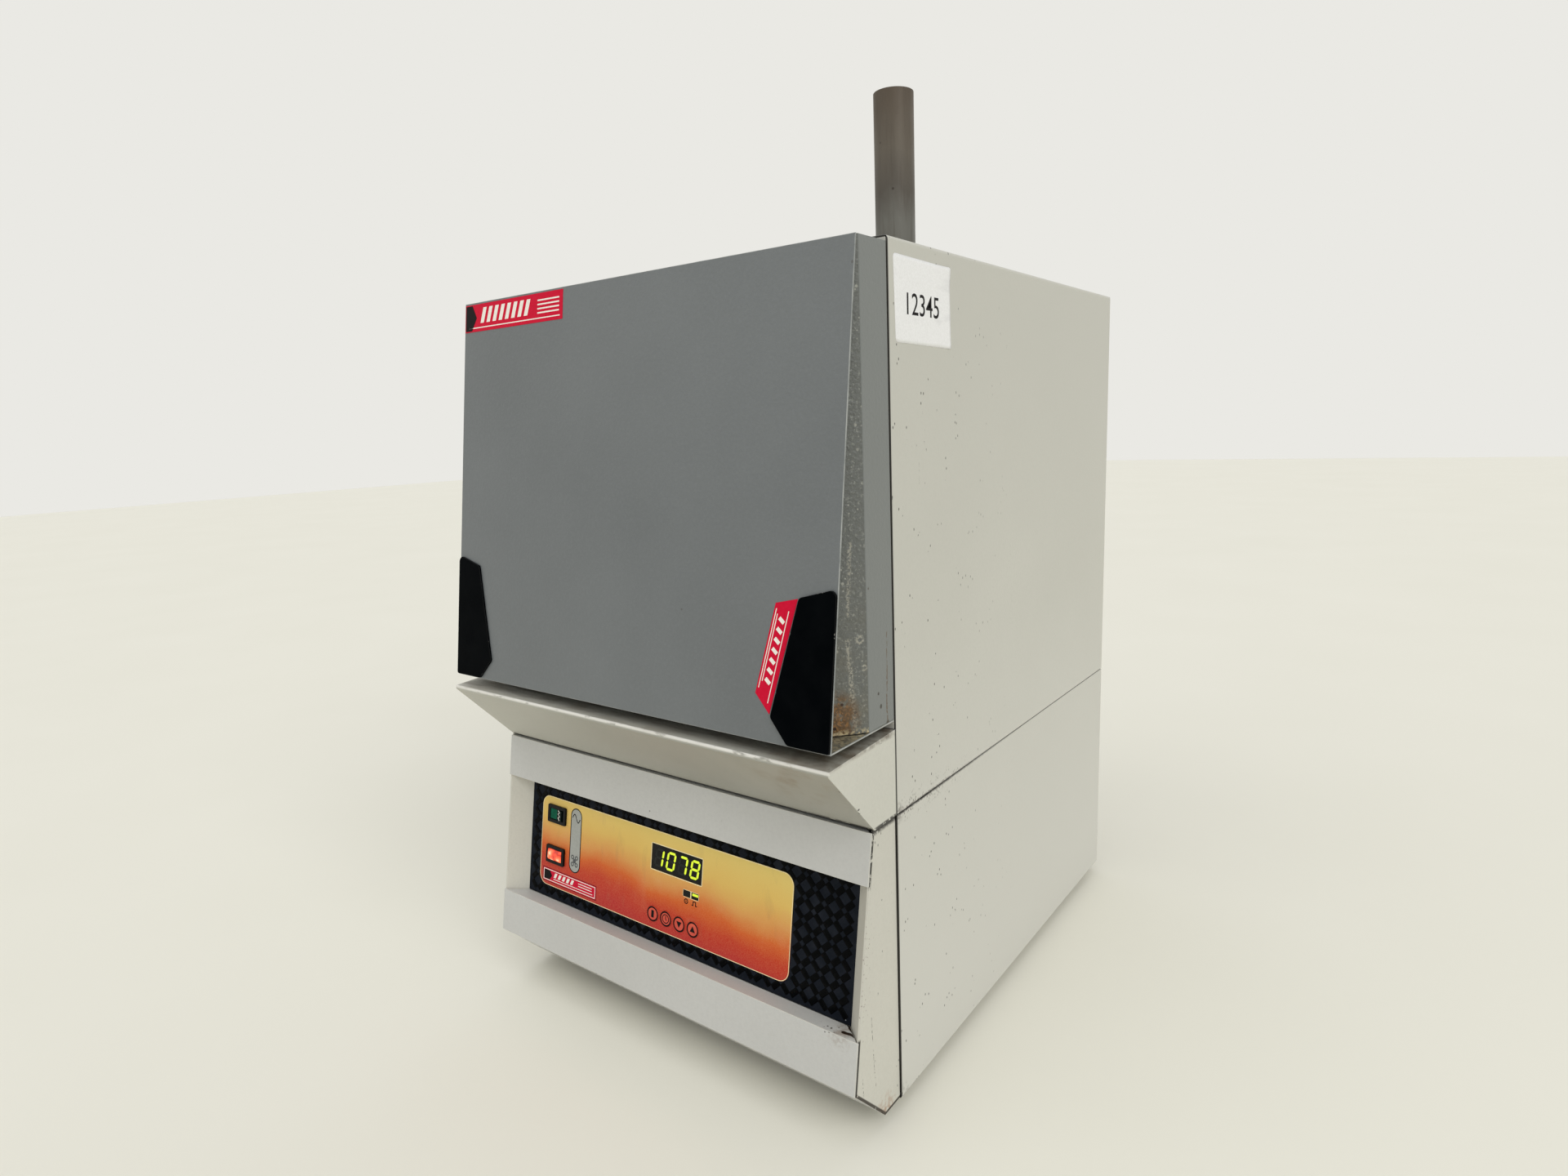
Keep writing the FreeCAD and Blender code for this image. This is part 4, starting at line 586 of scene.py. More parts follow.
def scuffed(finish, colour, gate, strength=0.85):
    """Fine upright scratches and small dark specks where the gate is open."""
    patch = finish.span(finish.noise(0.019, 4), 0.585, 0.61)
    speck = finish.specks(0.0062, 0.00055, finish.on_walls(1.6), flat=True)
    speck = finish.times(speck, patch, gate)
    line = finish.specks(0.021, 0.00022, finish.on_walls(45), flat=True)
    broken = finish.span(finish.noise(0.0028, 2), 0.5, 0.56)
    line = finish.times(line, broken, finish.span(finish.noise(0.022, 1), 0.54, 0.6), gate)
    line = finish.maths("MULTIPLY", line, 0.5)
    marks = finish.maths("MULTIPLY", finish.maths("MAXIMUM", speck, line), strength)
    return finish.mixed(marks, colour, SOOT_AND_GAP_SHADE)


CASING_TONE = (200, 199, 189)


def casing_paint():
    """Pale grey casing: specks towards the front, grime along the seam in its sides, painted bounce
    light low down, painted shade towards the top, and painted shade on its front edges.
    """
    finish, colour = stoved("casing_paint", CASING_TONE)
    y, z = finish.axis("Y"), finish.axis("Z")
    # Painted bounce light: the paint is lighter towards the bottom. Painted shade: it is darker
    # towards the top.
    colour = finish.mixed(finish.span(z, 0.34, 0.06, 0.0, 0.9), colour, shade((206, 205, 197), 3))
    colour = finish.mixed(finish.span(z, 0.30, 0.55, 0.0, 0.6), colour, shade(CASING_TONE, -8))
    forward = finish.span(y, 0.02, -0.12)
    colour = scuffed(finish, colour, forward)
    seam = finish.times(finish.band(z, CASING_SEAM, 0.0007, 0.0013),
                        finish.span(y, -0.02, -0.13),
                        finish.span(finish.noise(0.0026, 3), 0.42, 0.52))
    spatter = finish.times(finish.band(z, 0.2255, 0.002, 0.009), finish.span(y, -0.06, -0.12),
                           finish.specks(0.0021, 0.00042, finish.on_walls(1.8), flat=True),
                           finish.span(finish.noise(0.009, 2), 0.46, 0.56))
    corner = finish.times(finish.near((187, -178, 225), 9),
                          finish.span(finish.noise(0.0022, 4), 0.42, 0.56))
    foot = finish.times(finish.near((187, -178, 11), 12),
                        finish.span(finish.noise(0.004, 3), 0.45, 0.65))
    dirt = finish.most(seam, corner, spatter, foot)
    colour = finish.mixed(finish.maths("MULTIPLY", dirt, 0.9), colour, GRIME)
    # Painted shade: the casing's front-facing edge faces, in the gaps against the console and the
    # ledge, are painted near black.
    joint_shade = finish.span(y, -0.1784, -0.1787)
    finish.colour(finish.mixed(finish.maths("MULTIPLY", joint_shade, 0.97), colour, SOOT_AND_GAP_SHADE))
    return finish


def panel_paint():
    """Rear panels and the mask behind the door, which is tanned by heat round the throat."""
    finish, colour = stoved("panel_paint", (196, 195, 186))
    heat = finish.span(finish.times(finish.near((0, -179, 440), 185),
                                    finish.span(finish.noise(0.05, 4), 0.2, 0.7)), 0.1, 0.75)
    colour = finish.mixed(finish.maths("MULTIPLY", heat, 0.75), colour, srgb(142, 116, 84))
    soot = finish.times(finish.near((0, -179, 500), 120),
                        finish.span(finish.noise(0.03, 4), 0.4, 0.7))
    finish.colour(finish.mixed(finish.maths("MULTIPLY", soot, 0.6), colour, srgb(88, 78, 70)))
    return finish


def band_paint():
    """Console grey, with rust in the panel's lower right corner."""
    finish, colour = stoved("band_paint", (197, 197, 193), grain=0.0015, depth=0.00016)
    unsteady = finish.unsteady(5, 0.9)
    stain = finish.times(finish.near(at_console(172, -140.8, -5), 15),
                         finish.span(finish.noise(0.004, 4), 0.35, 0.65))
    colour = finish.mixed(finish.span(stain, 0.1, 0.6, 0.0, 0.55), colour, srgb(128, 104, 82))
    flake = finish.streak(at_console(171, -140.8, -4), at_console(181, -140.8, -4.5), 1.1, 0.8,
                          unsteady)
    crack = finish.streak(at_console(170, -140.8, -13), at_console(185.5, -140.8, -0.5), 0.7,
                          0.5, unsteady)
    crumb = finish.times(finish.near(at_console(163, -140.8, -6), 12),
                         finish.specks(0.0035, 0.0006))
    colour = finish.mixed(finish.span(finish.most(flake, crack, crumb), 0.05, 0.5), colour,
                          srgb(42, 28, 18))
    speck = finish.times(finish.specks(0.012, 0.0007),
                         finish.span(finish.noise(0.05, 2), 0.56, 0.62))
    finish.colour(finish.mixed(finish.maths("MULTIPLY", speck, 0.6), colour, GRIME))
    return finish


def cheek_paint():
    """Console cheeks: a dotted scratch, painted shade in the gaps against the bands, the ledge and
    the casing, some grime in the ledge's gap, and rust along the foot.
    """
    finish, colour = stoved("cheek_paint", (204, 202, 191))
    x, y, z = (finish.axis(name) for name in "XYZ")
    colour = scuffed(finish, colour, finish.span(x, 0.165, 0.172), 0.55)
    unsteady = finish.unsteady(14, 0.7)
    line = finish.most(
        finish.streak((186.1, -214.4, 95), (186.1, -212.6, 54), 0.18, 0.3, unsteady),
        finish.streak((186.1, -212.6, 54), (186.1, -211.2, 42), 0.18, 0.3, unsteady),
        finish.streak((186.1, -227.6, 57), (186.1, -227.2, 44), 0.2, 0.3, unsteady))
    line = finish.times(line, finish.span(finish.noise(0.0019, 2), 0.46, 0.52))
    colour = finish.mixed(finish.maths("MULTIPLY", line, 0.8), colour, GRIME)
    # Painted shade: a dark line on the side beside the band ends, where the gaps to the bands are,
    # dotted at the upper band.
    fold = finish.beyond(CHEEK_TOP, CHEEK_NOSE)
    outer = finish.span(x, 0.1852, 0.1856)
    low_joint = finish.span(z, 0.088, 0.0862)
    high_joint = finish.times(finish.span(z, 0.1852, 0.1865),
                              finish.span(finish.noise(0.0035, 3), 0.42, 0.5))
    rim = finish.times(finish.span(fold, 0.0019, 0.0013), outer,
                       finish.maths("MAXIMUM", low_joint, high_joint))
    colour = finish.mixed(finish.maths("MULTIPLY", rim, 0.95), colour, SOOT_AND_GAP_SHADE)
    inner = finish.times(finish.span(fold, 0.012, 0.003), finish.band(z, 0.12, 0.025, 0.03),
                         finish.span(x, 0.183, 0.1855), finish.specks(0.0032, 0.0005))
    colour = finish.mixed(finish.maths("MULTIPLY", inner, 0.6), colour, srgb(112, 88, 76))
    # Painted shade in the gap under the ledge, with some grime: the top of the cheek is darkened
    # near black.
    top = finish.times(finish.span(z, 0.2198, 0.2222), finish.span(x, 0.16, 0.175),
                       finish.maths("MAXIMUM", finish.span(finish.noise(0.0026, 4), 0.38, 0.5),
                                    finish.span(z, 0.2219, 0.2228)))
    colour = finish.mixed(finish.maths("MULTIPLY", top, 0.95), colour, SOOT_AND_GAP_SHADE)
    tip = finish.times(finish.near((186, -200, 12), 22),
                       finish.span(finish.noise(0.0035, 3), 0.35, 0.6))
    colour = finish.mixed(finish.span(tip, 0.15, 0.7, 0.0, 0.6), colour, srgb(162, 118, 82))
    foot = finish.maths("MINIMUM", finish.beyond(CHEEK_NOSE, CHEEK_FOOT),
                        finish.maths("SUBTRACT", z, 0.0115))
    foot = finish.times(finish.span(foot, 0.0023, 0.0016),
                        finish.span(finish.noise(0.005, 3), 0.30, 0.38))
    colour = finish.mixed(finish.maths("MULTIPLY", foot, 0.95), colour, srgb(38, 28, 18))
    # Painted shade: the cheek's back face, in the gap against the casing, is painted near black.
    back = finish.span(y, -0.1799, -0.1796, 0.0, 0.97)
    finish.colour(finish.mixed(back, colour, SOOT_AND_GAP_SHADE))
    return finish


def ledge_paint():
    """Ledge: painted shade on its front, darker to the right; grime on its top under the door; a
    painted highlight along the nose, partly rubbed paint; nicks along the upper edge of its ends;
    painted shade in its gaps to the cheeks and the casing.
    """
    finish, colour = stoved("ledge_paint", (205, 204, 193), grain=0.0014, depth=0.0001)
    x, y, z = (finish.axis(name) for name in "XYZ")
    # Painted shade: every face but the ends is darker, more so to the right, for the
    # downward-facing front.
    slope = finish.times(finish.span(finish.maths("ABSOLUTE", x), 0.1872, 0.1868),
                         finish.span(x, -0.19, 0.02, 0.45, 1.0),
                         finish.span(finish.noise(0.07, 3), 0.2, 0.8, 0.75, 1.0))
    colour = finish.mixed(finish.maths("MULTIPLY", slope, 0.85), colour, srgb(147, 146, 137))
    rust = finish.times(slope, finish.near((150, -240, 262), 46),
                        finish.span(finish.noise(0.018, 4), 0.48, 0.72))
    colour = finish.mixed(finish.span(rust, 0.0, 0.6, 0.0, 0.5), colour, srgb(140, 124, 104))
    scratch = finish.most(finish.streak((-59, -257.8, 279.8), (-54.4, -252, 273.4), 0.15, 0.3),
                          finish.streak((-54.4, -252, 273.4), (-57.4, -228.3, 247.3), 0.22, 0.3))
    colour = finish.mixed(finish.maths("MULTIPLY", scratch, 0.85), colour, srgb(92, 82, 70))
    streaks = finish.noise(0.006, 4, finish.drawn_out(x=6))
    grime = finish.times(finish.span(z, 0.2805, 0.2822), finish.span(streaks, 0.44, 0.62))
    colour = finish.mixed(finish.maths("MULTIPLY", grime, 0.6), colour, srgb(96, 84, 68))
    under = finish.times(finish.span(z, 0.280, 0.2825), finish.span(x, 0.08, 0.17),
                         finish.span(finish.noise(0.010, 4), 0.42, 0.6))
    colour = finish.mixed(finish.maths("MULTIPLY", under, 0.7), colour, srgb(92, 78, 64))
    # Painted highlight, partly rubbed paint: a near-white line along the top of the nose.
    nose = finish.times(finish.span(y, -0.2562, -0.2572), finish.span(z, 0.2788, 0.2797),
                        finish.span(finish.noise(0.004, 3, finish.drawn_out(x=3)), 0.3, 0.42))
    colour = finish.mixed(finish.maths("MULTIPLY", nose, 0.9), colour, srgb(232, 230, 222))
    dust = finish.times(finish.span(z, 0.2795, 0.281), finish.span(finish.noise(0.03, 3), 0.4, 0.7))
    colour = finish.mixed(finish.maths("MULTIPLY", dust, 0.35), colour, srgb(138, 128, 112))
    rims = finish.maths("MAXIMUM", finish.span(finish.beyond(LEDGE_NOSE, LEDGE_ROOT), 0.005, 0.001),
                        finish.span(z, 0.2765, 0.2795))
    nick = finish.times(finish.specks(0.0042, 0.00055, finish.drawn_out(y=2.2)), rims,
                        finish.span(finish.noise(0.012, 2), 0.46, 0.54),
                        finish.span(x, 0.183, 0.186))
    colour = finish.mixed(finish.maths("MULTIPLY", nick, 0.9), colour, SOOT_AND_GAP_SHADE)
    # Painted shade in the gap above the cheeks, with some grime: the lower edge is darkened near
    # black.
    low = finish.times(finish.span(z, 0.2272, 0.2262), finish.span(x, 0.1, 0.18),
                       finish.span(finish.noise(0.004, 3), 0.38, 0.5))
    colour = finish.mixed(finish.maths("MULTIPLY", low, 0.9), colour, SOOT_AND_GAP_SHADE)
    # Painted shade: the ledge's back face, in the gap against the casing, is painted near black.
    back = finish.span(y, -0.1807, -0.1800)
    finish.colour(finish.mixed(finish.maths("MULTIPLY", back, 0.97), colour, SOOT_AND_GAP_SHADE))
    return finish


def rubbed_and_highlit_edge(name="rubbed_and_highlit_edge", bright=(216, 214, 205), dull=(178, 176, 166)):
    """Edge paler where the paint is rubbed thin and as a painted highlight, with dark nicks, and
    painted shade in the casing's joints.
    """
    finish = Finish(name, 0.36)
    rub = finish.noise(0.012, 3)
    # Paler edge tones: rubbed paint, and a painted highlight of the rounded edges.
    colour = finish.mixed(finish.span(rub, 0.4, 0.65), srgb(*bright), srgb(*dull))
    nick = finish.times(finish.specks(0.007, 0.0009, finish.drawn_out(x=1.6)),
                        finish.span(finish.noise(0.03, 2), 0.5, 0.6))
    colour = finish.mixed(nick, colour, GRIME)
    y, z = finish.axis("Y"), finish.axis("Z")
    # Painted shade: bevels at the casing's front edges and along its seam are darkened near black,
    # as in the gaps.
    joint_shade = finish.band(y, CASING_FRONT, 0.0005, 0.0002)
    seam = finish.times(finish.band(z, CASING_SEAM, 0.0008, 0.0003),
                        finish.span(y, 0.06, -0.14, 0.2, 1.0),
                        finish.span(finish.noise(0.003, 3), 0.3, 0.5, 0.5, 1.0))
    joint_shade = finish.times(finish.maths("MAXIMUM", joint_shade, seam),
                         finish.span(finish.maths("ABSOLUTE", finish.axis("X")), 0.17, 0.18))
    finish.colour(finish.mixed(finish.maths("MULTIPLY", joint_shade, 0.95), colour, SOOT_AND_GAP_SHADE))
    finish.bump(rub, 0.00005)
    return finish


DOOR_TONE = (109, 113, 114)


def pitted(finish, colour, groove, z):
    """Glints, pale pits and a dull lower part on the walls of the finger grooves."""
    glint = finish.times(finish.span(finish.noise(0.0017, 2), 0.56, 0.68), groove)
    colour = finish.mixed(finish.maths("MULTIPLY", glint, 0.4), colour, srgb(160, 162, 154))
    pit = finish.times(finish.most(finish.specks(0.0036, 0.0005), finish.specks(0.0085, 0.0009)),
                       groove, finish.span(finish.noise(0.016, 2), 0.42, 0.56))
    colour = finish.mixed(finish.maths("MULTIPLY", pit, 0.6), colour, srgb(182, 182, 170))
    dull = finish.times(groove, finish.span(z, 0.40, 0.30),
                        finish.span(finish.noise(0.02, 4), 0.35, 0.65))
    return finish.mixed(finish.maths("MULTIPLY", dull, 0.5), colour, srgb(112, 106, 86))


def dripped(finish, colour, groove, unsteady):
    """Pale run and two rings where drops have dried in the right groove."""
    drip = finish.most(
        finish.streak((181, -217.8, 296), (179.6, -219.3, 330), 0.5, 1.7, unsteady),
        finish.streak((179.6, -219.3, 330), (178.4, -220.6, 352), 0.3, 1.5, unsteady),
        finish.streak((179, -220, 368), (180.5, -218.2, 412), 0.2, 1.5, unsteady))
    drip = finish.times(drip, groove, finish.span(finish.noise(0.0014, 4), 0.44, 0.54))
    for place, reach in (((183.8, -214.4, 352.1), 3.8), ((185.3, -212.6, 334), 2.6)):
        ring = finish.band(finish.near(place, reach, unsteady), 0.45, 0.1, 0.22)
        ring = finish.times(ring, groove, finish.span(finish.noise(0.0018, 3), 0.38, 0.56))
        drip = finish.maths("MAXIMUM", drip, ring)
    return finish.mixed(finish.maths("MULTIPLY", drip, 0.65), colour, srgb(182, 178, 162))


def rusted(finish, colour, groove, z):
    """Rust in the lower front corners of the grooves, and a pale crust along their foot."""
    corner = finish.times(finish.most(finish.near((172, -228.5, 303), 22),
                                      finish.near((-166, -235, 302), 22)), groove)
    stain = finish.times(corner, finish.span(finish.noise(0.006, 5), 0.28, 0.56))
    colour = finish.mixed(finish.span(stain, 0.08, 0.42, 0.0, 0.85), colour, srgb(98, 70, 36))
    fiery = finish.times(corner, finish.span(finish.noise(0.0017, 5), 0.48, 0.6))
    colour = finish.mixed(finish.span(fiery, 0.22, 0.55, 0.0, 0.7), colour, srgb(146, 104, 56))
    burnt = finish.times(corner, finish.specks(0.0062, 0.0010))
    colour = finish.mixed(finish.span(burnt, 0.15, 0.45), colour, srgb(52, 34, 22))
    crust = finish.times(finish.span(z, 0.2960, 0.2925), groove,
                         finish.span(finish.noise(0.0024, 4), 0.42, 0.55))
    return finish.mixed(finish.maths("MULTIPLY", crust, 0.85), colour, srgb(206, 190, 150))


def flange_marked(finish, colour, flange, z, unsteady):
    """Brown run, dark spots and a painted highlight along the foot of the door's side flange."""
    run = finish.most(
        finish.streak((187, -187.7, 352), (187, -187.6, 330), 0.1, 0.5, unsteady),
        finish.streak((187, -187.6, 330), (187, -188.8, 305), 0.3, 0.5, unsteady),
        finish.streak((187, -188.8, 305), (187, -188.1, 291), 0.5, 0.6, unsteady))
    run = finish.times(run, flange, finish.span(finish.noise(0.003, 3), 0.36, 0.46))
    colour = finish.mixed(finish.maths("MULTIPLY", run, 0.85), colour, srgb(92, 70, 42))
    spots = finish.most(finish.near((187, -199, 314), 1.7, unsteady),
                        finish.near((187, -196.2, 305), 2.6, unsteady),
                        finish.near((187, -188.1, 292), 3.0, unsteady))
    colour = finish.mixed(finish.span(spots, 0.3, 0.6, 0.0, 0.9), colour, srgb(56, 50, 40))
    # Painted highlight: a pale line along the bottom edge of the flange.
    lip = finish.times(flange, finish.span(z, 0.2914, 0.2906))
    return finish.mixed(finish.maths("MULTIPLY", lip, 0.8), colour, srgb(206, 206, 200))


def door_paint():
    """Mid grey hammered paint, with painted shade on the walls and floor of the finger grooves, and
    pale drips and rust low in them.
    """
    finish = Finish("door_paint", 0.4, specular=0.4)
    x, y, z = (finish.axis(name) for name in "XYZ")
    cloud = finish.noise(0.16, 3)
    colour = finish.mixed(finish.span(cloud, 0.3, 0.7), shade(DOOR_TONE, -4), shade(DOOR_TONE, 4))
    fleck = finish.noise(0.0022, 3)
    colour = finish.mixed(finish.span(fleck, 0.45, 0.75, 0.0, 0.16), colour,
                          shade(DOOR_TONE, 20))
    out = finish.maths("ABSOLUTE", x)
    flange = finish.span(out, 0.1866, 0.18685)
    side = finish.span(out, 0.1495, 0.1515)
    back = finish.span(y, -0.2540, -0.2505)
    wall = finish.times(side, back, finish.maths("SUBTRACT", 1.0, flange))
    groove = finish.times(wall, finish.span(finish.beyond(SKIN_TOP, SKIN_FOOT), 0.0004, 0.0012))
    # Painted shade: the groove walls are darker than the rest of the door.
    colour = finish.mixed(finish.maths("MULTIPLY", groove, 0.75), colour,
                          srgb(100, 102, 96))
    colour = finish.mixed(finish.maths("MULTIPLY", flange, 0.7), colour, srgb(127, 130, 126))
    unsteady = finish.unsteady(6, 0.6)
    colour = pitted(finish, colour, groove, z)
    colour = dripped(finish, colour, groove, unsteady)
    colour = rusted(finish, colour, groove, z)
    # Painted shade: the floor of the grooves at the door's foot is darker.
    sill = finish.times(finish.span(z, 0.2925, 0.2919), side, back,
                        finish.span(finish.noise(0.01, 3), 0.3, 0.6, 0.6, 1.0))
    colour = finish.mixed(finish.maths("MULTIPLY", sill, 0.7), colour, srgb(82, 84, 74))
    crack = finish.streak((171, -229.4, 291.8), (186.8, -210.9, 291.8), 0.25, 0.4, unsteady)
    colour = finish.mixed(finish.maths("MULTIPLY", crack, 0.9), colour, srgb(40, 30, 20))
    colour = flange_marked(finish, colour, flange, z, unsteady)
    chip = finish.specks(0.03, 0.0009)
    chip = finish.times(chip, finish.span(finish.noise(0.09, 2), 0.56, 0.64))
    finish.colour(finish.mixed(finish.maths("MULTIPLY", chip, 0.7), colour, GRIME))
    finish.roughness(finish.span(cloud, 0.2, 0.8, 0.36, 0.46))
    finish.bump(finish.maths("MULTIPLY", finish.noise(0.0026, 2),
                             finish.span(groove, 0, 1, 0.22, 1.0)), 0.0009)
    return finish


def bare_steel():
    """Rolled steel with fine lines and a little tarnish."""
    finish = Finish("bare_steel", 0.36, metallic=1.0)
    lines = finish.noise(0.0007, 3, finish.drawn_out(y=26))
    tarnish = finish.noise(0.035, 4)
    colour = finish.mixed(finish.span(lines, 0.3, 0.7), srgb(150, 148, 144), srgb(184, 183, 180))
    colour = finish.mixed(finish.span(tarnish, 0.5, 0.75, 0.0, 0.6), colour, srgb(128, 116, 98))
    finish.colour(colour)
    finish.roughness(finish.span(tarnish, 0.3, 0.7, 0.3, 0.5))
    finish.bump(lines, 0.00002)
    return finish


def weight_iron():
    """Cast grey iron with a sandy skin, rubbed brown in places."""
    finish = Finish("weight_iron", 0.7)
    sand = finish.noise(0.0016, 4)
    colour = finish.mixed(finish.span(sand, 0.3, 0.7), srgb(52, 52, 54), srgb(78, 77, 76))
    worn = finish.span(finish.noise(0.02, 4), 0.62, 0.7)
    finish.colour(finish.mixed(worn, colour, srgb(104, 84, 66)))
    finish.bump(sand, 0.0002)
    return finish


def sink_aluminium():
    """Drawn aluminium of the heat sink."""
    finish = Finish("sink_aluminium", 0.38, metallic=1.0)
    lines = finish.noise(0.0006, 2, finish.drawn_out(y=30))
    finish.colour(finish.mixed(lines, srgb(160, 161, 164), srgb(196, 197, 200)))
    finish.bump(lines, 0.00002)
    return finish


def chimney_steel():
    """Heat-stained tube, brown at the top and grey below, with streaks and small pits."""
    finish = Finish("chimney_steel", 0.55, metallic=0.2, specular=0.3)
    height = finish.axis("Z")
    waver = finish.noise(0.02, 3, finish.drawn_out(z=2))
    stain = finish.maths("ADD", height, finish.span(waver, 0.0, 1.0, -0.02, 0.02))
    colour = finish.ramp(finish.span(stain, CHIMNEY_SEAT, CHIMNEY_TOP), [
        (0.0, srgb(106, 106, 100)), (0.4, srgb(108, 107, 101)), (0.56, srgb(88, 83, 76)),
        (0.72, srgb(100, 93, 83)), (1.0, srgb(88, 78, 67))])
    streak = finish.noise(0.004, 4, finish.drawn_out(z=14))
    colour = finish.mixed(finish.span(streak, 0.5, 0.75, 0.0, 0.5), colour, srgb(78, 70, 62))
    pit = finish.specks(0.017, 0.0014)
    pit = finish.maths("MULTIPLY", pit, finish.span(finish.noise(0.03, 2), 0.5, 0.58))
    colour = finish.mixed(finish.maths("MULTIPLY", pit, 0.75), colour, srgb(52, 44, 38))
    finish.colour(colour)
    finish.roughness(finish.span(waver, 0.2, 0.8, 0.4, 0.62))
    finish.bump(finish.noise(0.003, 4), 0.00006)
    return finish


def foot_rubber():
    """Black rubber, dusty in patches."""
    finish = Finish("foot_rubber", 0.85)
    dust = finish.noise(0.004, 4)
    finish.colour(finish.mixed(finish.span(dust, 0.5, 0.8, 0.0, 0.7), srgb(26, 26, 27),
                               srgb(74, 72, 68)))
    finish.bump(dust, 0.0001)
    return finish


def moulded_plastic(name, tone, roughness, grain=0.0008, specular=0.5, spread=13):
    """Moulded plastic with a fine spark-eroded grain and light handling marks."""
    finish = Finish(name, roughness, specular=specular)
    grease = finish.noise(0.018, 4)
    finish.colour(finish.mixed(finish.span(grease, 0.4, 0.75), shade(tone, 0),
                               shade(tone, spread)))
    finish.roughness(finish.span(grease, 0.3, 0.7, roughness - 0.05, roughness + 0.12))
    finish.bump(finish.noise(grain, 2), 0.00002)
    return finish


def grip_edge():
    """Chipped rim of the black grips."""
    finish = Finish("grip_edge", 0.4, specular=0.1)
    chip = finish.noise(0.004, 4)
    finish.colour(finish.mixed(finish.span(chip, 0.63, 0.67), srgb(8, 9, 10),
                               srgb(150, 148, 142)))
    finish.bump(chip, 0.00004)
    return finish


def overlay_black():
    """Dark blue-black overlay with a few pale specks that are painted glints."""
    finish = Finish("overlay_black", 0.5, specular=0.03)
    dust = finish.noise(0.012, 5)
    colour = finish.mixed(finish.span(dust, 0.4, 0.8), srgb(23, 27, 34), srgb(37, 40, 47))
    # Painted glints: scattered pale specks on the dark face.
    glint_speck = finish.times(finish.specks(0.009, 0.0004), finish.span(finish.noise(0.02, 2), 0.5, 0.6))
    finish.colour(finish.mixed(finish.maths("MULTIPLY", glint_speck, 0.8), colour, srgb(170, 172, 174)))
    finish.bump(finish.noise(0.0009, 2), 0.00002)
    return finish


def relief_gloss():
    """Near black gloss of the overlay's raised bars."""
    finish = Finish("relief_gloss", 0.2, specular=0.04)
    rub = finish.noise(0.006, 3)
    finish.colour(finish.mixed(finish.span(rub, 0.4, 0.8), srgb(1, 2, 3), srgb(7, 8, 10)))
    finish.bump(rub, 0.00003)
    return finish


def label_heat(finish):
    """Printed colours of the label: straw yellow above, through orange, to crimson below."""
    where = finish.on(CONSOLE)
    drop = finish.span(finish.axis("Y", where), LABEL[3], LABEL[1])
    lean = finish.span(finish.axis("X", where), LABEL[0], LABEL[2], 0.12, -0.03)
    cloud = finish.span(finish.noise(0.045, 3), 0.25, 0.75, -0.06, 0.06)
    heat = finish.maths("ADD", finish.maths("ADD", drop, lean), cloud)
    colour = finish.ramp(heat, [
        (0.0, srgb(230, 205, 118)), (0.30, srgb(224, 187, 100)), (0.49, srgb(218, 152, 82)),
        (0.65, srgb(210, 92, 34)), (0.80, srgb(194, 50, 28)), (1.0, srgb(186, 32, 40))])
    faded = finish.span(finish.noise(0.035, 4), 0.56, 0.76, 0.0, 0.16)
    return finish.mixed(faded, colour, srgb(222, 170, 134))


def label_print():
    """Printed film of the label, lightly scuffed."""
    finish = Finish("label_print", 0.34, specular=0.12)
    dot = finish.noise(0.0007, 1)
    colour = finish.mixed(finish.span(dot, 0.3, 0.7, 0.0, 0.1), label_heat(finish),
                          srgb(244, 214, 150))
    scuff = finish.noise(0.01, 4, finish.drawn_out(z=4))
    colour = finish.mixed(finish.span(scuff, 0.6, 0.8, 0.0, 0.22), colour, srgb(150, 120, 86))
    finish.colour(colour)
    finish.bump(finish.noise(0.0012, 2), 0.00001)
    return finish


def key_print():
    """The label's colours on the keys, rubbed lighter by fingers."""
    finish = Finish("key_print", 0.36, specular=0.12)
    shine = finish.noise(0.004, 3)
    finish.colour(finish.mixed(finish.span(shine, 0.3, 0.8, 0.4, 0.6), label_heat(finish),
                               srgb(232, 116, 94)))
    finish.bump(shine, 0.00003)
    return finish


def plain_print(name, tone, roughness=0.4, spread=10):
    """Printed ink with slightly uneven coverage."""
    finish = Finish(name, roughness, specular=0.08)
    cover = finish.noise(0.0022, 3)
    light = [min(255, level + spread) for level in tone]
    finish.colour(finish.mixed(finish.span(cover, 0.35, 0.75), srgb(*tone), srgb(*light)))
    return finish


def glow(name, tone, strength):
    """Lit segment or lens part, a little uneven."""
    finish = Finish(name, 0.3)
    haze = finish.noise(0.0025, 2)
    finish.colour(srgb(20, 20, 16))
    light = [min(255, level + 24) for level in tone]
    shade = finish.mixed(finish.span(haze, 0.3, 0.7), srgb(*tone), srgb(*light))
    finish.tree.links.new(shade, finish.shader.inputs["Emission Color"])
    finish.shader.inputs["Emission Strength"].default_value = strength
    return finish


def window_glass():
    """Dark clear window with finger smears."""
    finish = Finish("window_glass", 0.1, specular=0.15)
    smear = finish.noise(0.009, 4)
    finish.colour(finish.mixed(finish.span(smear, 0.4, 0.8), srgb(14, 14, 14), srgb(28, 28, 27)))
    finish.roughness(finish.span(smear, 0.3, 0.8, 0.06, 0.22))
    return finish


def rocker_green():
    """Dark green paddle that turns nearly black on its raised half."""
    finish = Finish("rocker_green", 0.25, specular=0.05)
    across = finish.span(finish.axis("X"), (SWITCH_MIDDLE - 0.5) * MM, (SWITCH_MIDDLE + 1) * MM)
    deep = finish.noise(0.004, 3)
    green = finish.mixed(finish.span(deep, 0.3, 0.7), srgb(8, 76, 56), srgb(16, 96, 72))
    finish.colour(finish.mixed(across, green, srgb(10, 22, 20)))
    finish.bump(deep, 0.00003)
    return finish


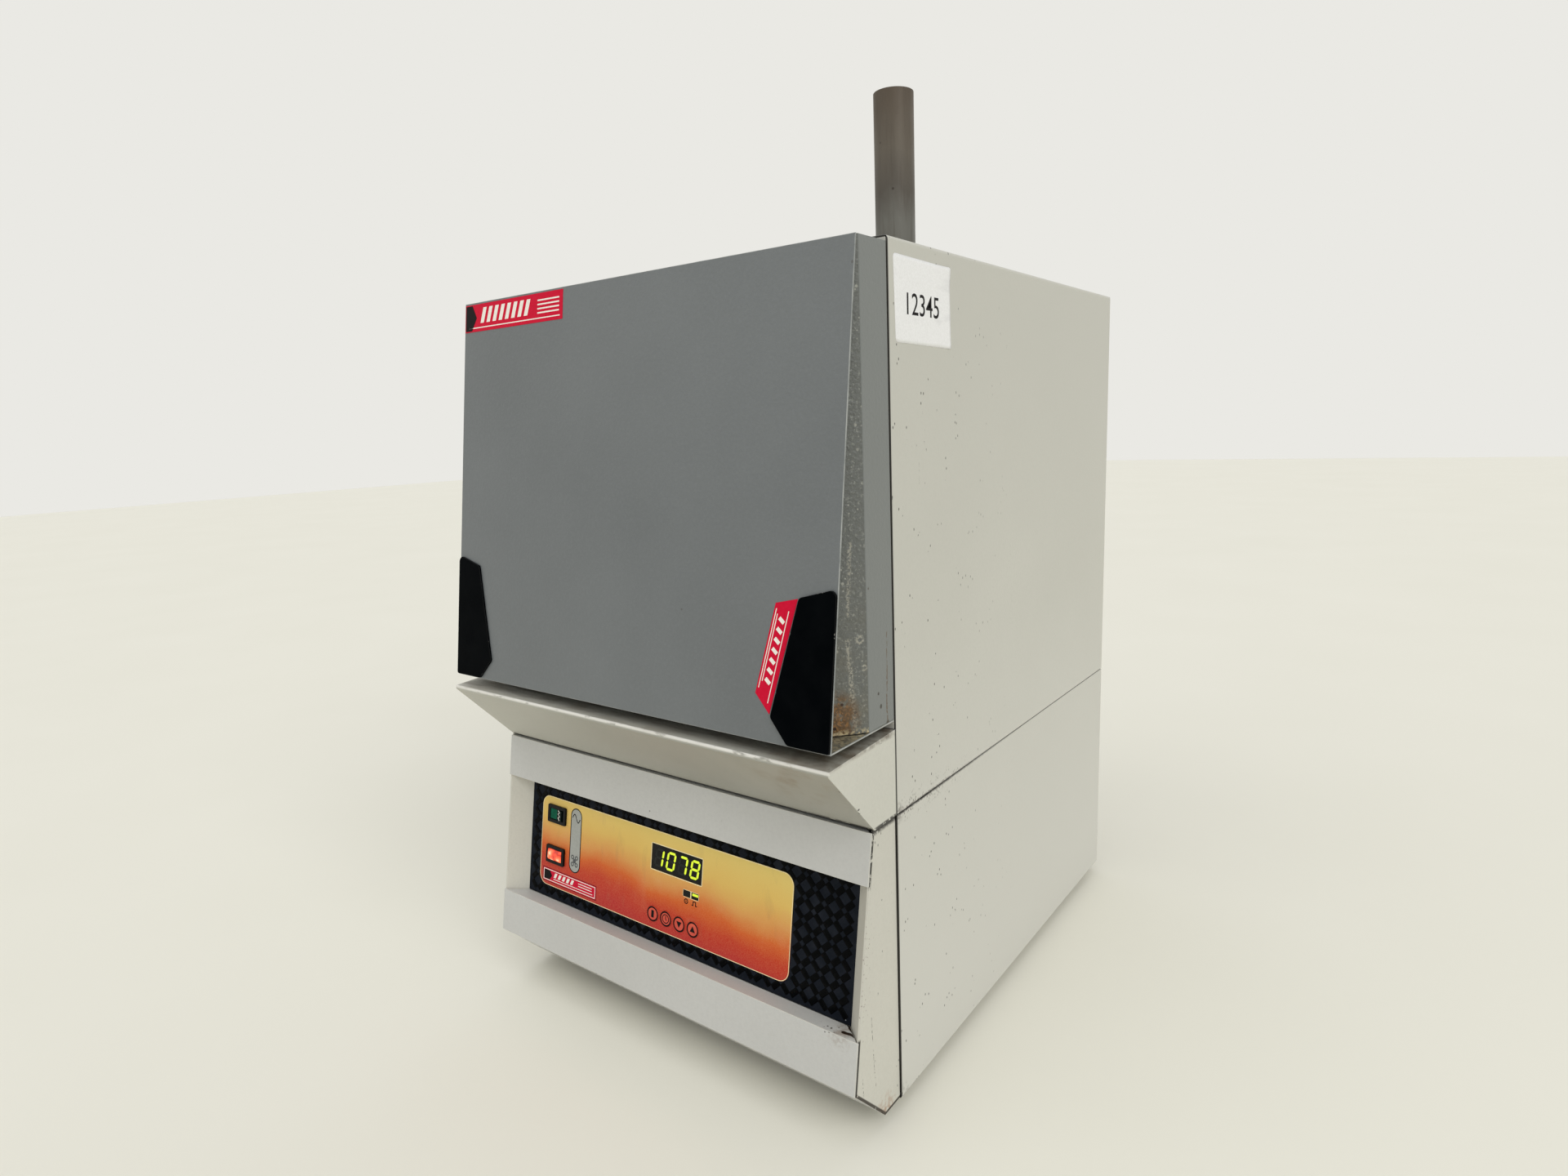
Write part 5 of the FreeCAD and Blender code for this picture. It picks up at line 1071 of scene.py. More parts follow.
def lamp_lens():
    """Orange-red lens, lit from behind in a few bright facets."""
    finish = Finish("lamp_lens", 0.18)
    where = finish.on(CONSOLE)
    facet = finish.add("ShaderNodeTexVoronoi", {"Vector": where, "Scale": 0.15})
    hot = finish.span(facet.outputs["Distance"], 0.1, 0.75)
    lit = finish.ramp(hot, [(0.0, srgb(255, 206, 170)), (0.3, srgb(255, 130, 84)),
                            (0.7, srgb(232, 74, 46)), (1.0, srgb(160, 44, 34))])
    finish.colour(finish.mixed(0.5, lit, srgb(214, 66, 44)))
    finish.tree.links.new(lit, finish.shader.inputs["Emission Color"])
    finish.shader.inputs["Emission Strength"].default_value = 0.8
    return finish


def fibre_board():
    """Pressed ceramic fibre: off-white, matt, with a coarse felted face and scorched parts."""
    finish = Finish("fibre_board", 0.95)
    felt = finish.noise(0.0022, 5)
    scorch = finish.noise(0.05, 4)
    colour = finish.mixed(finish.span(felt, 0.3, 0.7), srgb(206, 198, 182), srgb(232, 227, 214))
    heat = finish.maths("MULTIPLY", finish.near((0, -150, 440), 150),
                        finish.span(scorch, 0.35, 0.7))
    finish.colour(finish.mixed(heat, colour, srgb(176, 146, 110)))
    finish.bump(felt, 0.0004)
    return finish


def fired_ceramic():
    """Fired tile and element plate, scorched in places."""
    finish = Finish("fired_ceramic", 0.8)
    grit = finish.noise(0.0018, 4)
    scorch = finish.noise(0.03, 4)
    colour = finish.mixed(finish.span(grit, 0.3, 0.7), srgb(188, 164, 134), srgb(214, 196, 168))
    finish.colour(finish.mixed(finish.span(scorch, 0.5, 0.72, 0.0, 0.75), colour,
                               srgb(124, 94, 70)))
    finish.bump(grit, 0.0002)
    return finish


def coil_wire():
    """Heating wire with a scaled skin."""
    finish = Finish("coil_wire", 0.55, metallic=0.8)
    scale = finish.noise(0.003, 3)
    finish.colour(finish.mixed(finish.span(scale, 0.3, 0.7), srgb(72, 64, 60),
                               srgb(122, 106, 94)))
    finish.bump(scale, 0.00005)
    return finish


def zinc_plate():
    """Dull zinc plate of the screws."""
    finish = Finish("zinc_plate", 0.34, metallic=1.0)
    bloom = finish.noise(0.002, 4)
    finish.colour(finish.mixed(finish.span(bloom, 0.3, 0.7), srgb(158, 156, 146),
                               srgb(196, 194, 184)))
    finish.bump(bloom, 0.00003)
    return finish


def sticker_paper():
    """White paper with fine fibres and a few creases."""
    finish = Finish("sticker_paper", 0.55)
    fibre = finish.noise(0.0012, 4)
    crease = finish.span(finish.noise(0.014, 3, finish.drawn_out(y=3)), 0.6, 0.7, 0.0, 0.25)
    colour = finish.mixed(finish.span(fibre, 0.3, 0.7), srgb(232, 232, 230), srgb(242, 242, 241))
    finish.colour(finish.mixed(crease, colour, srgb(204, 204, 204)))
    finish.bump(fibre, 0.00004)
    return finish


casing = casing_paint()
panel_coat = panel_paint()
console = band_paint()
cheek = cheek_paint()
ledge = ledge_paint()
ledge_rubbed_highlit_edge = rubbed_and_highlit_edge()
casing_edge = rubbed_and_highlit_edge("casing_edge", (208, 207, 197), (196, 195, 186))
door_edge = rubbed_and_highlit_edge("door_edge", (168, 170, 166), (132, 136, 134))
grip_rim = grip_edge()
door = door_paint()
steel = bare_steel()
iron = weight_iron()
aluminium = sink_aluminium()
chimney = chimney_steel()
rubber = foot_rubber()
bezel_black = moulded_plastic("bezel_black", (8, 8, 9), 0.34, specular=0.15, spread=6)
grip_black = moulded_plastic("grip_black", (2, 4, 6), 0.3, specular=0.012, spread=5)
module_black = moulded_plastic("module_black", (34, 35, 38), 0.6)
gland_black = moulded_plastic("gland_black", (24, 24, 25), 0.5)
fibre = fibre_board()
ceramic = fired_ceramic()
wire = coil_wire()
zinc = zinc_plate()
glass = window_glass()
label = label_print()
key = key_print()
green = rocker_green()
lens = lamp_lens()
overlay = overlay_black()
dark_ink = plain_print("dark_ink", (16, 13, 14), spread=6)
maroon_ink = plain_print("maroon_ink", (14, 4, 6), spread=6)
pale_ink = plain_print("pale_ink", (240, 236, 226))
cream_ink = plain_print("cream_ink", (244, 226, 178))
grey_ink = plain_print("grey_ink", (164, 166, 160))
smoke_ink = plain_print("smoke_ink", (84, 87, 88))
crimson_ink = plain_print("crimson_ink", (206, 12, 50), 0.3, 6)
lime_glow = glow("lime_glow", (214, 240, 30), 1.0)
unlit = plain_print("unlit_segment", (38, 40, 38), 0.3, 6)

FINISH_OF_SLOT = {
    "casing_paint": casing, "console_paint": console, "door_paint": door, "bare_steel": steel,
    "weight_iron": iron, "heat_sink": aluminium, "chimney_steel": chimney,
    "foot_rubber": rubber, "black_plastic": bezel_black, "panel_black": overlay,
    "label_print": label, "window": glass, "key_print": key, "switch_green": green,
    "lamp_orange": lens, "fibre_board": fibre, "ceramic": ceramic, "coil_wire": wire,
    "zinc_screw": zinc, "module_plastic": module_black, "gland_plastic": gland_black,
}


# Shells over the CAD nodes

def dress_bodywork():
    """Casing, console, door and chimney with the small radii that sheet edges have."""
    for node in ("upper_casing", "lower_casing"):
        dress(node, casing, 0.45, 30, casing_edge)
    for node in ("upper_rear_panel", "lower_rear_panel", "front_mask"):
        dress(node, panel_coat, 0.3)
    for node in ("console_cheek_left", "console_cheek_right"):
        dress(node, cheek, 0.4)
    for node in ("console_undercut", "console_upper_band", "console_lower_band"):
        dress(node, console, 0.4, 30, casing_edge)
    dress("ledge", ledge, 0.5, 24, ledge_rubbed_highlit_edge)
    dress("door_pan", door, 0.5)
    for node in ("door_skin", "door_base"):
        dress(node, door, 0.4, 30, door_edge)
    dress("chimney_tube", chimney, 0.3, 50)
    dress("chimney_collar", steel, 0.4, 50)
    dress("mains_gland", gland_black, 0.5, 45)


GRIP = [(186.7, 0.8), (186.7, 95.6), (183.4, 98.4), (159.6, 91.9), (141.5, 16.5), (155.5, 0.8)]


def fit_grips():
    """Black corner grips, whose top edge rises to the door's side, with chipped rims."""
    for side, node in ((-1, "door_grip_left"), (1, "door_grip_right")):
        outline = [(side * x, y) for x, y in eased(GRIP, 1.9)]
        mesh = tidied(cut_sheet(node, [outline], 1.6, DOOR, 0.0), whole=True)
        thing = settled(node + "_cap", mesh)
        for finish in (grip_black, grip_rim):
            thing.data.materials.append(finish.material)
        soften(thing, 0.3, 50, 1)
        finish_piece(thing, "door", [grip_black, grip_rim], (node,))


def cap_gland():
    """Ribbed dome nut over the gland's hexagon, and the soft seal in its mouth."""
    place = Matrix.Scale(MM, 4) @ Matrix(((1, 0, 0, -120), (0, 0, 1, 0), (0, 1, 0, 70),
                                          (0, 0, 0, 1)))
    dome = turned("gland_dome", [
        (8.0, 249.2, 0), (12.2, 249.2, 0), (12.9, 249.9, 1), (12.9, 254.0, 1), (12.0, 256.2, 0),
        (10.0, 257.8, 0), (7.4, 258.3, 0), (7.4, 256.0, 0)], 96, place, 0.45)
    seal = turned("gland_seal", [
        (5.5, 254.0, 0), (7.5, 254.0, 0), (7.5, 257.4, 0), (6.6, 258.1, 0), (5.5, 258.1, 0)],
        48, place)
    for thing, finish in ((dome, gland_black), (seal, rubber)):
        smoothed(thing, 28)
        finish_piece(thing, "furnace", [finish])


def dress_mechanism():
    """Moving parts and their mounts, which show while the door is open."""
    for node in ("lower_arm_left", "lower_arm_right", "upper_arm_left", "upper_arm_right",
                 "pivot_plate_left", "pivot_plate_right", "door_hinge_left",
                 "door_hinge_right", "door_back"):
        dress(node, steel, 0.25, 50)
    for node in ("counterweight_left", "counterweight_right"):
        dress(node, iron, 0.8, 40)


def dress_lining():
    """Fibre boards and tiles, with the worn arrises that they have."""
    for node in ("door_insulation", "throat_board", "roof_insulation", "side_insulation"):
        dress(node, fibre, 0.8)
    for node in ("hearth_tile", "element_plates"):
        dress(node, ceramic, 0.5, 40)


def dress_controls():
    """Switch, lamp, keys and label."""
    dress("rocker_housing", bezel_black, 0.35)
    dress("rocker_paddle", green, 0.25, 8)
    for node in KEY_NAMES:
        dress(node, key, 0.3, 50)
    dress("panel_label", label, 0.05, 50)
    lamp = settled("heat_lamp_shell", cad_copy("heat_lamp"))
    for finish in (bezel_black, lens):
        lamp.data.materials.append(finish.material)
    for part in islands(lamp.data):
        points = {point for face in part for point in lamp.data.polygons[face].vertices}
        reach = max(abs(lamp.data.vertices[point].co.x / MM - SWITCH_MIDDLE) for point in points)
        for face in part:
            lamp.data.polygons[face].material_index = 0 if reach > 10 else 1
    soften(lamp, 0.3, 30)
    finish_piece(lamp, "furnace", [bezel_black, lens], ("heat_lamp",))


def paint_the_rest():
    """Nodes whose own mesh shows get the finish of their slot."""
    stood_for = {name for thing in bpy.data.objects if "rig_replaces" in thing
                 for name in thing["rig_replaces"]}
    for name, node in nodes.items():
        if name not in stood_for:
            node.data.materials.clear()
            node.data.materials.append(FINISH_OF_SLOT[slot_of[name]].material)


# Repeated pieces

COIL_STARTS = [(side * 79.0, -141.55, 410.0 + 20.0 * row) for side in (-1, 1) for row in range(4)]


def wind_coils():
    """Wire wound as an open helix in each groove of the element plates."""
    growth = Growth("element_coils")
    spiral = growth.add("GeometryNodeCurveSpiral", {
        "Resolution": growth.size("Points per turn", 12),
        "Rotations": growth.size("Turns", 72.0),
        "Start Radius": growth.size("Coil radius", 4.8),
        "End Radius": growth.size("Coil end radius", 4.8),
        "Height": growth.size("Coil length", 236.0)})
    ring = growth.add("GeometryNodeCurvePrimitiveCircle", {
        "Resolution": 6, "Radius": growth.size("Wire radius", 0.75)}, mode="RADIUS")
    tube = growth.add("GeometryNodeCurveToMesh", {
        "Curve": spiral.outputs[0], "Profile Curve": ring.outputs[0], "Fill Caps": True})
    round_tube = growth.add("GeometryNodeSetShadeSmooth", {"Geometry": tube.outputs[0]})
    coils = growth.add("GeometryNodeInstanceOnPoints", {
        "Points": growth.points, "Instance": round_tube.outputs[0],
        "Rotation": (-math.pi / 2, 0, 0)})
    thing = growth.grown("element_coil_wire", coils.outputs[0], wire, COIL_STARTS)
    thing.data.transform(Matrix.Scale(MM, 4))
    finish_piece(thing, "furnace", [wire], ("heating_coils",))


def spots_of(node):
    """Middle of each of a node's solids, with their lowest y and z, in metres."""
    mesh = cad_copy(node)
    found = []
    for part in islands(mesh):
        points = {point for face in part for point in mesh.polygons[face].vertices}
        spots = [mesh.vertices[point].co for point in points]
        centre = sum(spots, Vector()) / len(spots)
        found.append((centre, min(spot.y for spot in spots), min(spot.z for spot in spots)))
    return found


def set_screws(name, places, turn, stands_for=()):
    """Hexagon heads with their washers, turned to face out of the sheet that they hold."""
    growth = Growth(name)
    washer_height = growth.size("Washer height", 0.0005)
    head_height = growth.size("Head height", 0.0017)
    washer = growth.add("GeometryNodeMeshCylinder", {
        "Vertices": 24, "Radius": growth.size("Washer radius", 0.0047),
        "Depth": washer_height})
    head = growth.add("GeometryNodeMeshCylinder", {
        "Vertices": 6, "Radius": growth.size("Head radius", 0.0036), "Depth": head_height})
    on_face = growth.add("GeometryNodeTransform", {
        "Geometry": washer.outputs["Mesh"],
        "Translation": growth.vector(z=growth.maths("MULTIPLY", washer_height, 0.5))})
    on_washer = growth.add("GeometryNodeTransform", {
        "Geometry": head.outputs["Mesh"],
        "Translation": growth.vector(z=growth.maths(
            "ADD", washer_height, growth.maths("MULTIPLY", head_height, 0.5)))})
    both = growth.add("GeometryNodeJoinGeometry", {})
    for part in (on_face, on_washer):
        growth.tree.links.new(part.outputs[0], both.inputs[0])
    heads = growth.add("GeometryNodeInstanceOnPoints", {
        "Points": growth.points, "Instance": both.outputs[0], "Rotation": turn})
    thing = growth.grown(name, heads.outputs[0], zinc, places)
    finish_piece(thing, "furnace", [zinc], stands_for)


def drive_screws():
    """Screws along the edges of both rear panels and at the corners of the chimney's collar."""
    places = [(centre.x, back, centre.z) for centre, back, _ in spots_of("rear_screws")]
    set_screws("panel_screw_heads", places, (-math.pi / 2, 0, 0), ("rear_screws",))
    corners = [(COLLAR_SCREW * across, COLLAR_MIDDLE + COLLAR_SCREW * along, COLLAR_TOP)
               for across in (-1, 1) for along in (-1, 1)]
    set_screws("collar_screw_heads", corners, (0, 0, 0.3))


def stand_feet():
    """Tapered rubber feet with a narrower sole."""
    growth = Growth("rubber_feet")
    waist = growth.size("Waist radius", 0.0147)
    sole_height = growth.size("Sole height", 0.0018)
    sole = growth.add("GeometryNodeMeshCone", {
        "Vertices": 40, "Radius Top": waist, "Radius Bottom": growth.size("Sole radius", 0.0130),
        "Depth": sole_height})
    body = growth.add("GeometryNodeMeshCone", {
        "Vertices": 40, "Radius Top": growth.size("Top radius", 0.016), "Radius Bottom": waist,
        "Depth": growth.size("Body height", 0.0082)})
    raised = growth.add("GeometryNodeTransform", {
        "Geometry": body.outputs["Mesh"], "Translation": growth.vector(z=sole_height)})
    both = growth.add("GeometryNodeJoinGeometry", {})
    for part in (sole.outputs["Mesh"], raised.outputs[0]):
        growth.tree.links.new(part, both.inputs[0])
    feet = growth.add("GeometryNodeInstanceOnPoints", {
        "Points": growth.points, "Instance": both.outputs[0]})
    places = [(centre.x, centre.y, low) for centre, _, low in spots_of("feet")]
    thing = growth.grown("rubber_feet", feet.outputs[0], rubber, places)
    smoothed(thing, 5)
    finish_piece(thing, "furnace", [rubber], ("feet",))


RELIEF_PITCH = 8.2
RELIEF_COLUMNS = 41
RELIEF_ROWS = 12
FIELD_MIDDLE = (OVERLAY[1] + OVERLAY[3]) / 2


def under_label(growth, place):
    """1 at the points of the overlay that the label covers."""
    middle_x, middle_y = (LABEL[0] + LABEL[2]) / 2, (LABEL[1] + LABEL[3]) / 2
    half_x, half_y = (LABEL[2] - LABEL[0]) / 2, (LABEL[3] - LABEL[1]) / 2
    off_x = growth.maths("ABSOLUTE", growth.maths("SUBTRACT", place.outputs["X"], middle_x))
    off_y = growth.maths("ABSOLUTE",
                         growth.maths("SUBTRACT", place.outputs["Y"], middle_y - FIELD_MIDDLE))
    margin = growth.size("Margin round label", -2.5)
    return growth.maths("MULTIPLY",
                        growth.maths("LESS_THAN", off_x, growth.maths("ADD", margin, half_x)),
                        growth.maths("LESS_THAN", off_y, growth.maths("ADD", margin, half_y)))


def emboss_overlay():
    """Short glossy bars, turned crosswise by turns, over the overlay and clear of the label."""
    growth = Growth("overlay_relief")
    pitch = growth.size("Pitch", RELIEF_PITCH)
    long = growth.size("Bar length", 8.0)
    wide = growth.size("Bar width", 4.7)
    high = growth.size("Bar height", 0.5)
    grid = growth.add("GeometryNodeMeshGrid", {
        "Size X": growth.size("Field width", (RELIEF_COLUMNS - 1) * RELIEF_PITCH),
        "Size Y": growth.size("Field height", (RELIEF_ROWS - 1) * RELIEF_PITCH),
        "Vertices X": growth.size("Columns", RELIEF_COLUMNS),
        "Vertices Y": growth.size("Rows", RELIEF_ROWS)})
    place = growth.add("ShaderNodeSeparateXYZ", {
        "Vector": growth.add("GeometryNodeInputPosition", {}).outputs[0]})
    kept = growth.add("GeometryNodeDeleteGeometry", {
        "Geometry": grid.outputs["Mesh"], "Selection": under_label(growth, place)},
        domain="POINT")
    step = growth.maths("ADD",
                        growth.maths("FLOOR", growth.maths("DIVIDE", place.outputs["X"], pitch)),
                        growth.maths("FLOOR", growth.maths("DIVIDE", place.outputs["Y"], pitch)))
    odd = growth.maths("FLOORED_MODULO", step, 2.0)
    turn = growth.maths("MULTIPLY", growth.maths("SUBTRACT", odd, 0.5), math.pi / 2)
    line = growth.add("GeometryNodeCurvePrimitiveLine", {
        "Start": (-0.5, 0, 0), "End": (0.5, 0, 0)})
    ring = growth.add("GeometryNodeCurvePrimitiveCircle", {
        "Resolution": 10, "Radius": 0.5}, mode="RADIUS")
    bar = growth.add("GeometryNodeCurveToMesh", {
        "Curve": line.outputs[0], "Profile Curve": ring.outputs[0], "Fill Caps": True})
    bars = growth.add("GeometryNodeInstanceOnPoints", {
        "Points": kept.outputs[0], "Instance": bar.outputs[0],
        "Rotation": growth.vector(z=turn), "Scale": growth.vector(long, wide, high)})
    relief = relief_gloss()
    thing = growth.grown("overlay_relief_bars", bars.outputs[0], relief)
    thing.data.transform(CONSOLE @ Matrix.Translation((0, FIELD_MIDDLE, -RECESS_DEPTH)))
    finish_piece(thing, "furnace", [relief])


# Printed pieces of the label

LIFT = -LABEL_DEPTH
FILM = 0.05
BADGE = 0.2


def print_label_frame():
    """Cream line round the label and pale rims round its windows."""
    plate("label_rim", [inset(round_outline, 0.1, *LABEL, LABEL_CORNER - 0.1),
                        inset(round_outline, 0.6, *LABEL, LABEL_CORNER - 0.6)],
          FILM, CONSOLE, LIFT, cream_ink)
    for name, area, rim in (("display_rim", DISPLAY, 0.8), ("lights_rim", LIGHTS, 0.5)):
        plate(name, [inset(round_outline, -rim, *area, 1.3),
                     inset(round_outline, -0.16, *area, 0.3)],
              FILM, CONSOLE, LIFT, cream_ink)


SEGMENTS = {"1": "bc", "0": "abcdef", "7": "abc", "8": "abcdefg"}


def digit_bar(letter, wide, high, bar):
    """Six-sided bar of a seven-segment digit, before its slant."""
    half, gap = bar / 2, 0.22
    ends = {"a": ((0, high), (wide, high)), "b": ((wide, high / 2), (wide, high)),
            "c": ((wide, 0), (wide, high / 2)), "d": ((0, 0), (wide, 0)),
            "e": ((0, 0), (0, high / 2)), "f": ((0, high / 2), (0, high)),
            "g": ((0, high / 2), (wide, high / 2))}
    (x0, y0), (x1, y1) = ends[letter]
    if y0 == y1:
        x0, x1 = x0 + gap, x1 - gap
        return [(x0, y0), (x0 + half, y0 - half), (x1 - half, y0 - half), (x1, y0),
                (x1 - half, y0 + half), (x0 + half, y0 + half)]
    y0, y1 = y0 + gap, y1 - gap
    return [(x0, y0), (x0 + half, y0 + half), (x0 + half, y1 - half), (x0, y1),
            (x0 - half, y1 - half), (x0 - half, y0 + half)]


def light_display():
    """Four slanted seven-segment digits behind the window, lit and unlit bars."""
    wide, high, bar, slant = 7.4, 13.2, 1.9, math.tan(math.radians(9))
    lit, dark = [], []
    for place, digit in enumerate("1078"):
        left = DISPLAY[0] + 3.4 + 12.6 * place
        low = (DISPLAY[1] + DISPLAY[3]) / 2 - high / 2
        for letter in "abcdefg":
            outline = [(left + x + y * slant, low + y)
                       for x, y in digit_bar(letter, wide, high, bar)]
            (lit if letter in SEGMENTS[digit] else dark).append(outline)
    plate("display_lit_bars", lit, FILM, CONSOLE, -RECESS_DEPTH, lime_glow)
    plate("display_unlit_bars", dark, FILM, CONSOLE, -RECESS_DEPTH, unlit)


def light_status():
    """Two small status windows with a lit bar in the right one, and an icon below each."""
    low, right, high = LIGHTS[1:]
    plate("lights_divider", [box_outline(20.9, low - 0.1, 21.9, high + 0.1)], FILM, CONSOLE,
          -RECESS_DEPTH, cream_ink)
    plate("light_on_bar", [box_outline(22.9, low + 2.3, right - 0.6, high - 0.7)], FILM, CONSOLE,
          -RECESS_DEPTH, lime_glow)
    pulse = [(22.9, -100.1), (24.4, -100.1), (24.4, -97.2), (27.0, -97.2), (27.0, -100.1),
             (28.5, -100.1)]
    icons = [disc_outline(17.1, -98.8, radius) for radius in (2.1, 1.3, 0.55)]
    plate("status_icons", icons + [square_stroke(pulse, 0.8)], FILM, CONSOLE, LIFT, dark_ink)


def square_stroke(points, width):
    """Outline of a line of level and upright runs, with square corners."""
    half = width / 2
    left, right = [], []
    for index, (x, y) in enumerate(points):
        before = points[index - 1] if index else points[0]
        after = points[index + 1] if index + 1 < len(points) else points[-1]
        go_in = Vector((x - before[0], y - before[1]))
        go_out = Vector((after[0] - x, after[1] - y))
        shift = Vector((0, 0))
        for run in {tuple(v.normalized()) for v in (go_in, go_out) if v.length}:
            shift += Vector((-run[1], run[0])) * half
        left.append((x + shift.x, y + shift.y))
        right.append((x - shift.x, y - shift.y))
    return left + right[::-1]


def print_pill():
    """Grey rounded field beside the switches with a wave above and a fan mark below."""
    area = (-119.7, -111.3, -105.7, -55.3)
    plate("pill_outline", [round_outline(*area, 7, 12),
                           inset(round_outline, 0.95, *area, 6.05, 12)],
          FILM, CONSOLE, LIFT, dark_ink)
    plate("pill_field", [inset(round_outline, 0.95, *area, 6.05, 12)], FILM, CONSOLE, LIFT,
          grey_ink)
    wave = [(-117.4 + 9.4 * step / 20, -64 + 3.3 * math.sin(2 * math.pi * step / 20))
            for step in range(21)]
    plate("pill_wave", [stroke(wave, 0.85)], FILM, CONSOLE, LIFT + FILM, dark_ink)
    blades = []
    for turn in range(4):
        angle = math.radians(45 + 90 * turn)
        x, y = -112.7 + 3.5 * math.cos(angle), -101.0 + 4.3 * math.sin(angle)
        blades.append(disc_outline(x, y, 2.0, 20))
        blades.append(disc_outline(x, y, 1.0, 20))
    blades.append(disc_outline(-112.7, -101.0, 1.9, 20))
    plate("pill_fan", blades, FILM, CONSOLE, LIFT + FILM, smoke_ink)


def print_keys():
    """Dark ring and icon on each key; they ride on the keys."""
    for index, name in enumerate(KEY_NAMES):
        x, y = KEY_FIRST + KEY_PITCH * index, KEY_UP
        ring = [disc_outline(x, y, 5.98, 48), disc_outline(x, y, 4.75, 48)]
        icon = {
            "key_program": [box_outline(x - 1.4, y - 2.9, x + 1.4, y + 2.9)],
            "key_timer": [disc_outline(x, y, 3.7, 40), disc_outline(x, y, 2.95, 40),
                          stroke([(x, y + 2.2), (x, y), (x + 1.1, y - 1.1)], 0.8)],
            "key_down": [[(x - 2.7, y + 2.0), (x, y - 2.8), (x + 2.7, y + 2.0)]],
            "key_up": [[(x - 2.7, y - 2.0), (x + 2.7, y - 2.0), (x, y + 2.8)]],
        }[name]
        plate(name + "_ring", ring, FILM, CONSOLE, -KEY_DEPTH, maroon_ink, name)
        plate(name + "_icon", icon, FILM, CONSOLE, -KEY_DEPTH, dark_ink, name)


def mark_rocker():
    """Pale zigzag on the raised half of the rocker."""
    face = CONSOLE @ Matrix.Translation((SWITCH_MIDDLE, ROCKER_UP, -ROCKER_DIP)) @ \
        Matrix.Rotation(-math.radians(ROCKER_ANGLE), 4, "Y")
    zigzag = [(2.0, 4.2), (4.6, 2.8), (2.2, 1.1), (4.7, -0.6), (2.3, -2.3), (4.2, -4.2)]
    plate("rocker_mark", [stroke(zigzag, 0.95)], FILM, face, 0.0, pale_ink, "rocker")


def slanted_bars(left, low, right, high, count, lean):
    """Row of slanted bars, evenly spaced."""
    pitch = (right - left - lean) / count
    return [[(left + pitch * n, low), (left + pitch * (n + 0.55), low),
             (left + pitch * (n + 0.55) + lean, high), (left + pitch * n + lean, high)]
            for n in range(count)]


def area_outline(area, gap=0.0):
    """Outline of an area in mm, a gap further in."""
    left, low, right, high = area
    return box_outline(left + gap, low + gap, right - gap, high - gap)


def fix_panel_badge():
    """Plain crimson badge with pale bars and rules on the label."""
    area = (-152.6, -126.9, -84.4, -115.6)
    plate("panel_badge", [area_outline(area)], 0.08, CONSOLE, LIFT, crimson_ink)
    plate("panel_badge_edge", [area_outline(area, -0.45), area_outline(area, 0.0)], 0.08, CONSOLE,
          LIFT, dark_ink)
    left, low, right, high = area
    rules = [area_outline(area, 0.7), area_outline(area, 1.35)]
    rules += slanted_bars(left + 14, low + 4.6, right - 25, high - 2.4, 5, 2.0)
    rules += [box_outline(left + 14, low + 2.9, right - 4, low + 3.5)]
    rules += [box_outline(right - 22, low + 5.4 + 2.2 * n, right - 5, low + 6.1 + 2.2 * n)
              for n in range(2)]
    tab = [(left + 1.6, low + 1.6), (left + 9, low + 1.6), (left + 12, (low + high) / 2),
           (left + 9, high - 1.6), (left + 1.6, high - 1.6)]
    plate("panel_badge_tab", [tab], FILM, CONSOLE, LIFT + 0.08, dark_ink)
    plate("panel_badge_rules", rules, FILM, CONSOLE, LIFT + 0.08, pale_ink)


def fix_door_badge():
    """Crimson badge with pale bars in the door's upper left corner."""
    area = (-186.0, 279.6, -66.0, 301.2)
    plate("door_badge", [area_outline(area)], BADGE, DOOR, 0.0, crimson_ink, "door")
    left, low, right, high = area
    rules = [box_outline(left + 4, low + 2.6, right - 3, low + 3.4)]
    rules += slanted_bars(left + 20, low + 6.4, right - 34, high - 3.2, 8, 3.4)
    rules += [box_outline(right - 29, low + 6.4 + 3.1 * n, right - 4, low + 7.5 + 3.1 * n)
              for n in range(4)]
    plate("door_badge_rules", rules, FILM, DOOR, BADGE, pale_ink, "door")
    tab = [(left + 0.6, low + 0.8), (left + 9, low + 0.8), (left + 15, low + 10.8),
           (left + 9, high - 0.8), (left + 0.6, high - 0.8)]
    plate("door_badge_tab", [tab], FILM, DOOR, BADGE, dark_ink, "door")


def fix_grip_strip():
    """Crimson strip along the right grip, with long rules and short bars across them."""
    upper, lower = (141.6, 87.5), (128.5, 29.9)
    strip = [(158.2, 91.2), upper, lower, (140.2, 17.8)]
    plate("grip_strip", [strip], BADGE, DOOR, 0.0, crimson_ink, "door")
    along = (Vector(lower) - Vector(upper)).normalized()
    across = Vector((-along.y, along.x))

    def line(start, end, width):
        """Line between two (across, along) places on the strip."""
        return stroke([tuple(Vector(upper) + across * step + along * run)
                       for step, run in (start, end)], width)

    rules = [line((shift, first), (shift, last), 0.6)
             for shift, first, last in ((1.6, 3, 55), (3.2, 6, 50), (11.0, 2, 62))]
    rules += [line((5.2, 8 + 6.6 * step), (9.4, 10.2 + 6.6 * step), 2.6) for step in range(7)]
    plate("grip_strip_rules", rules, FILM, DOOR, BADGE, pale_ink, "door")


STICKER = (-171.0, 531.0, -96.0, 583.6)
NUMBER_PLACE = (-156.5, 549, 0.15)
NUMBER_SIZE = (43, 13.5)


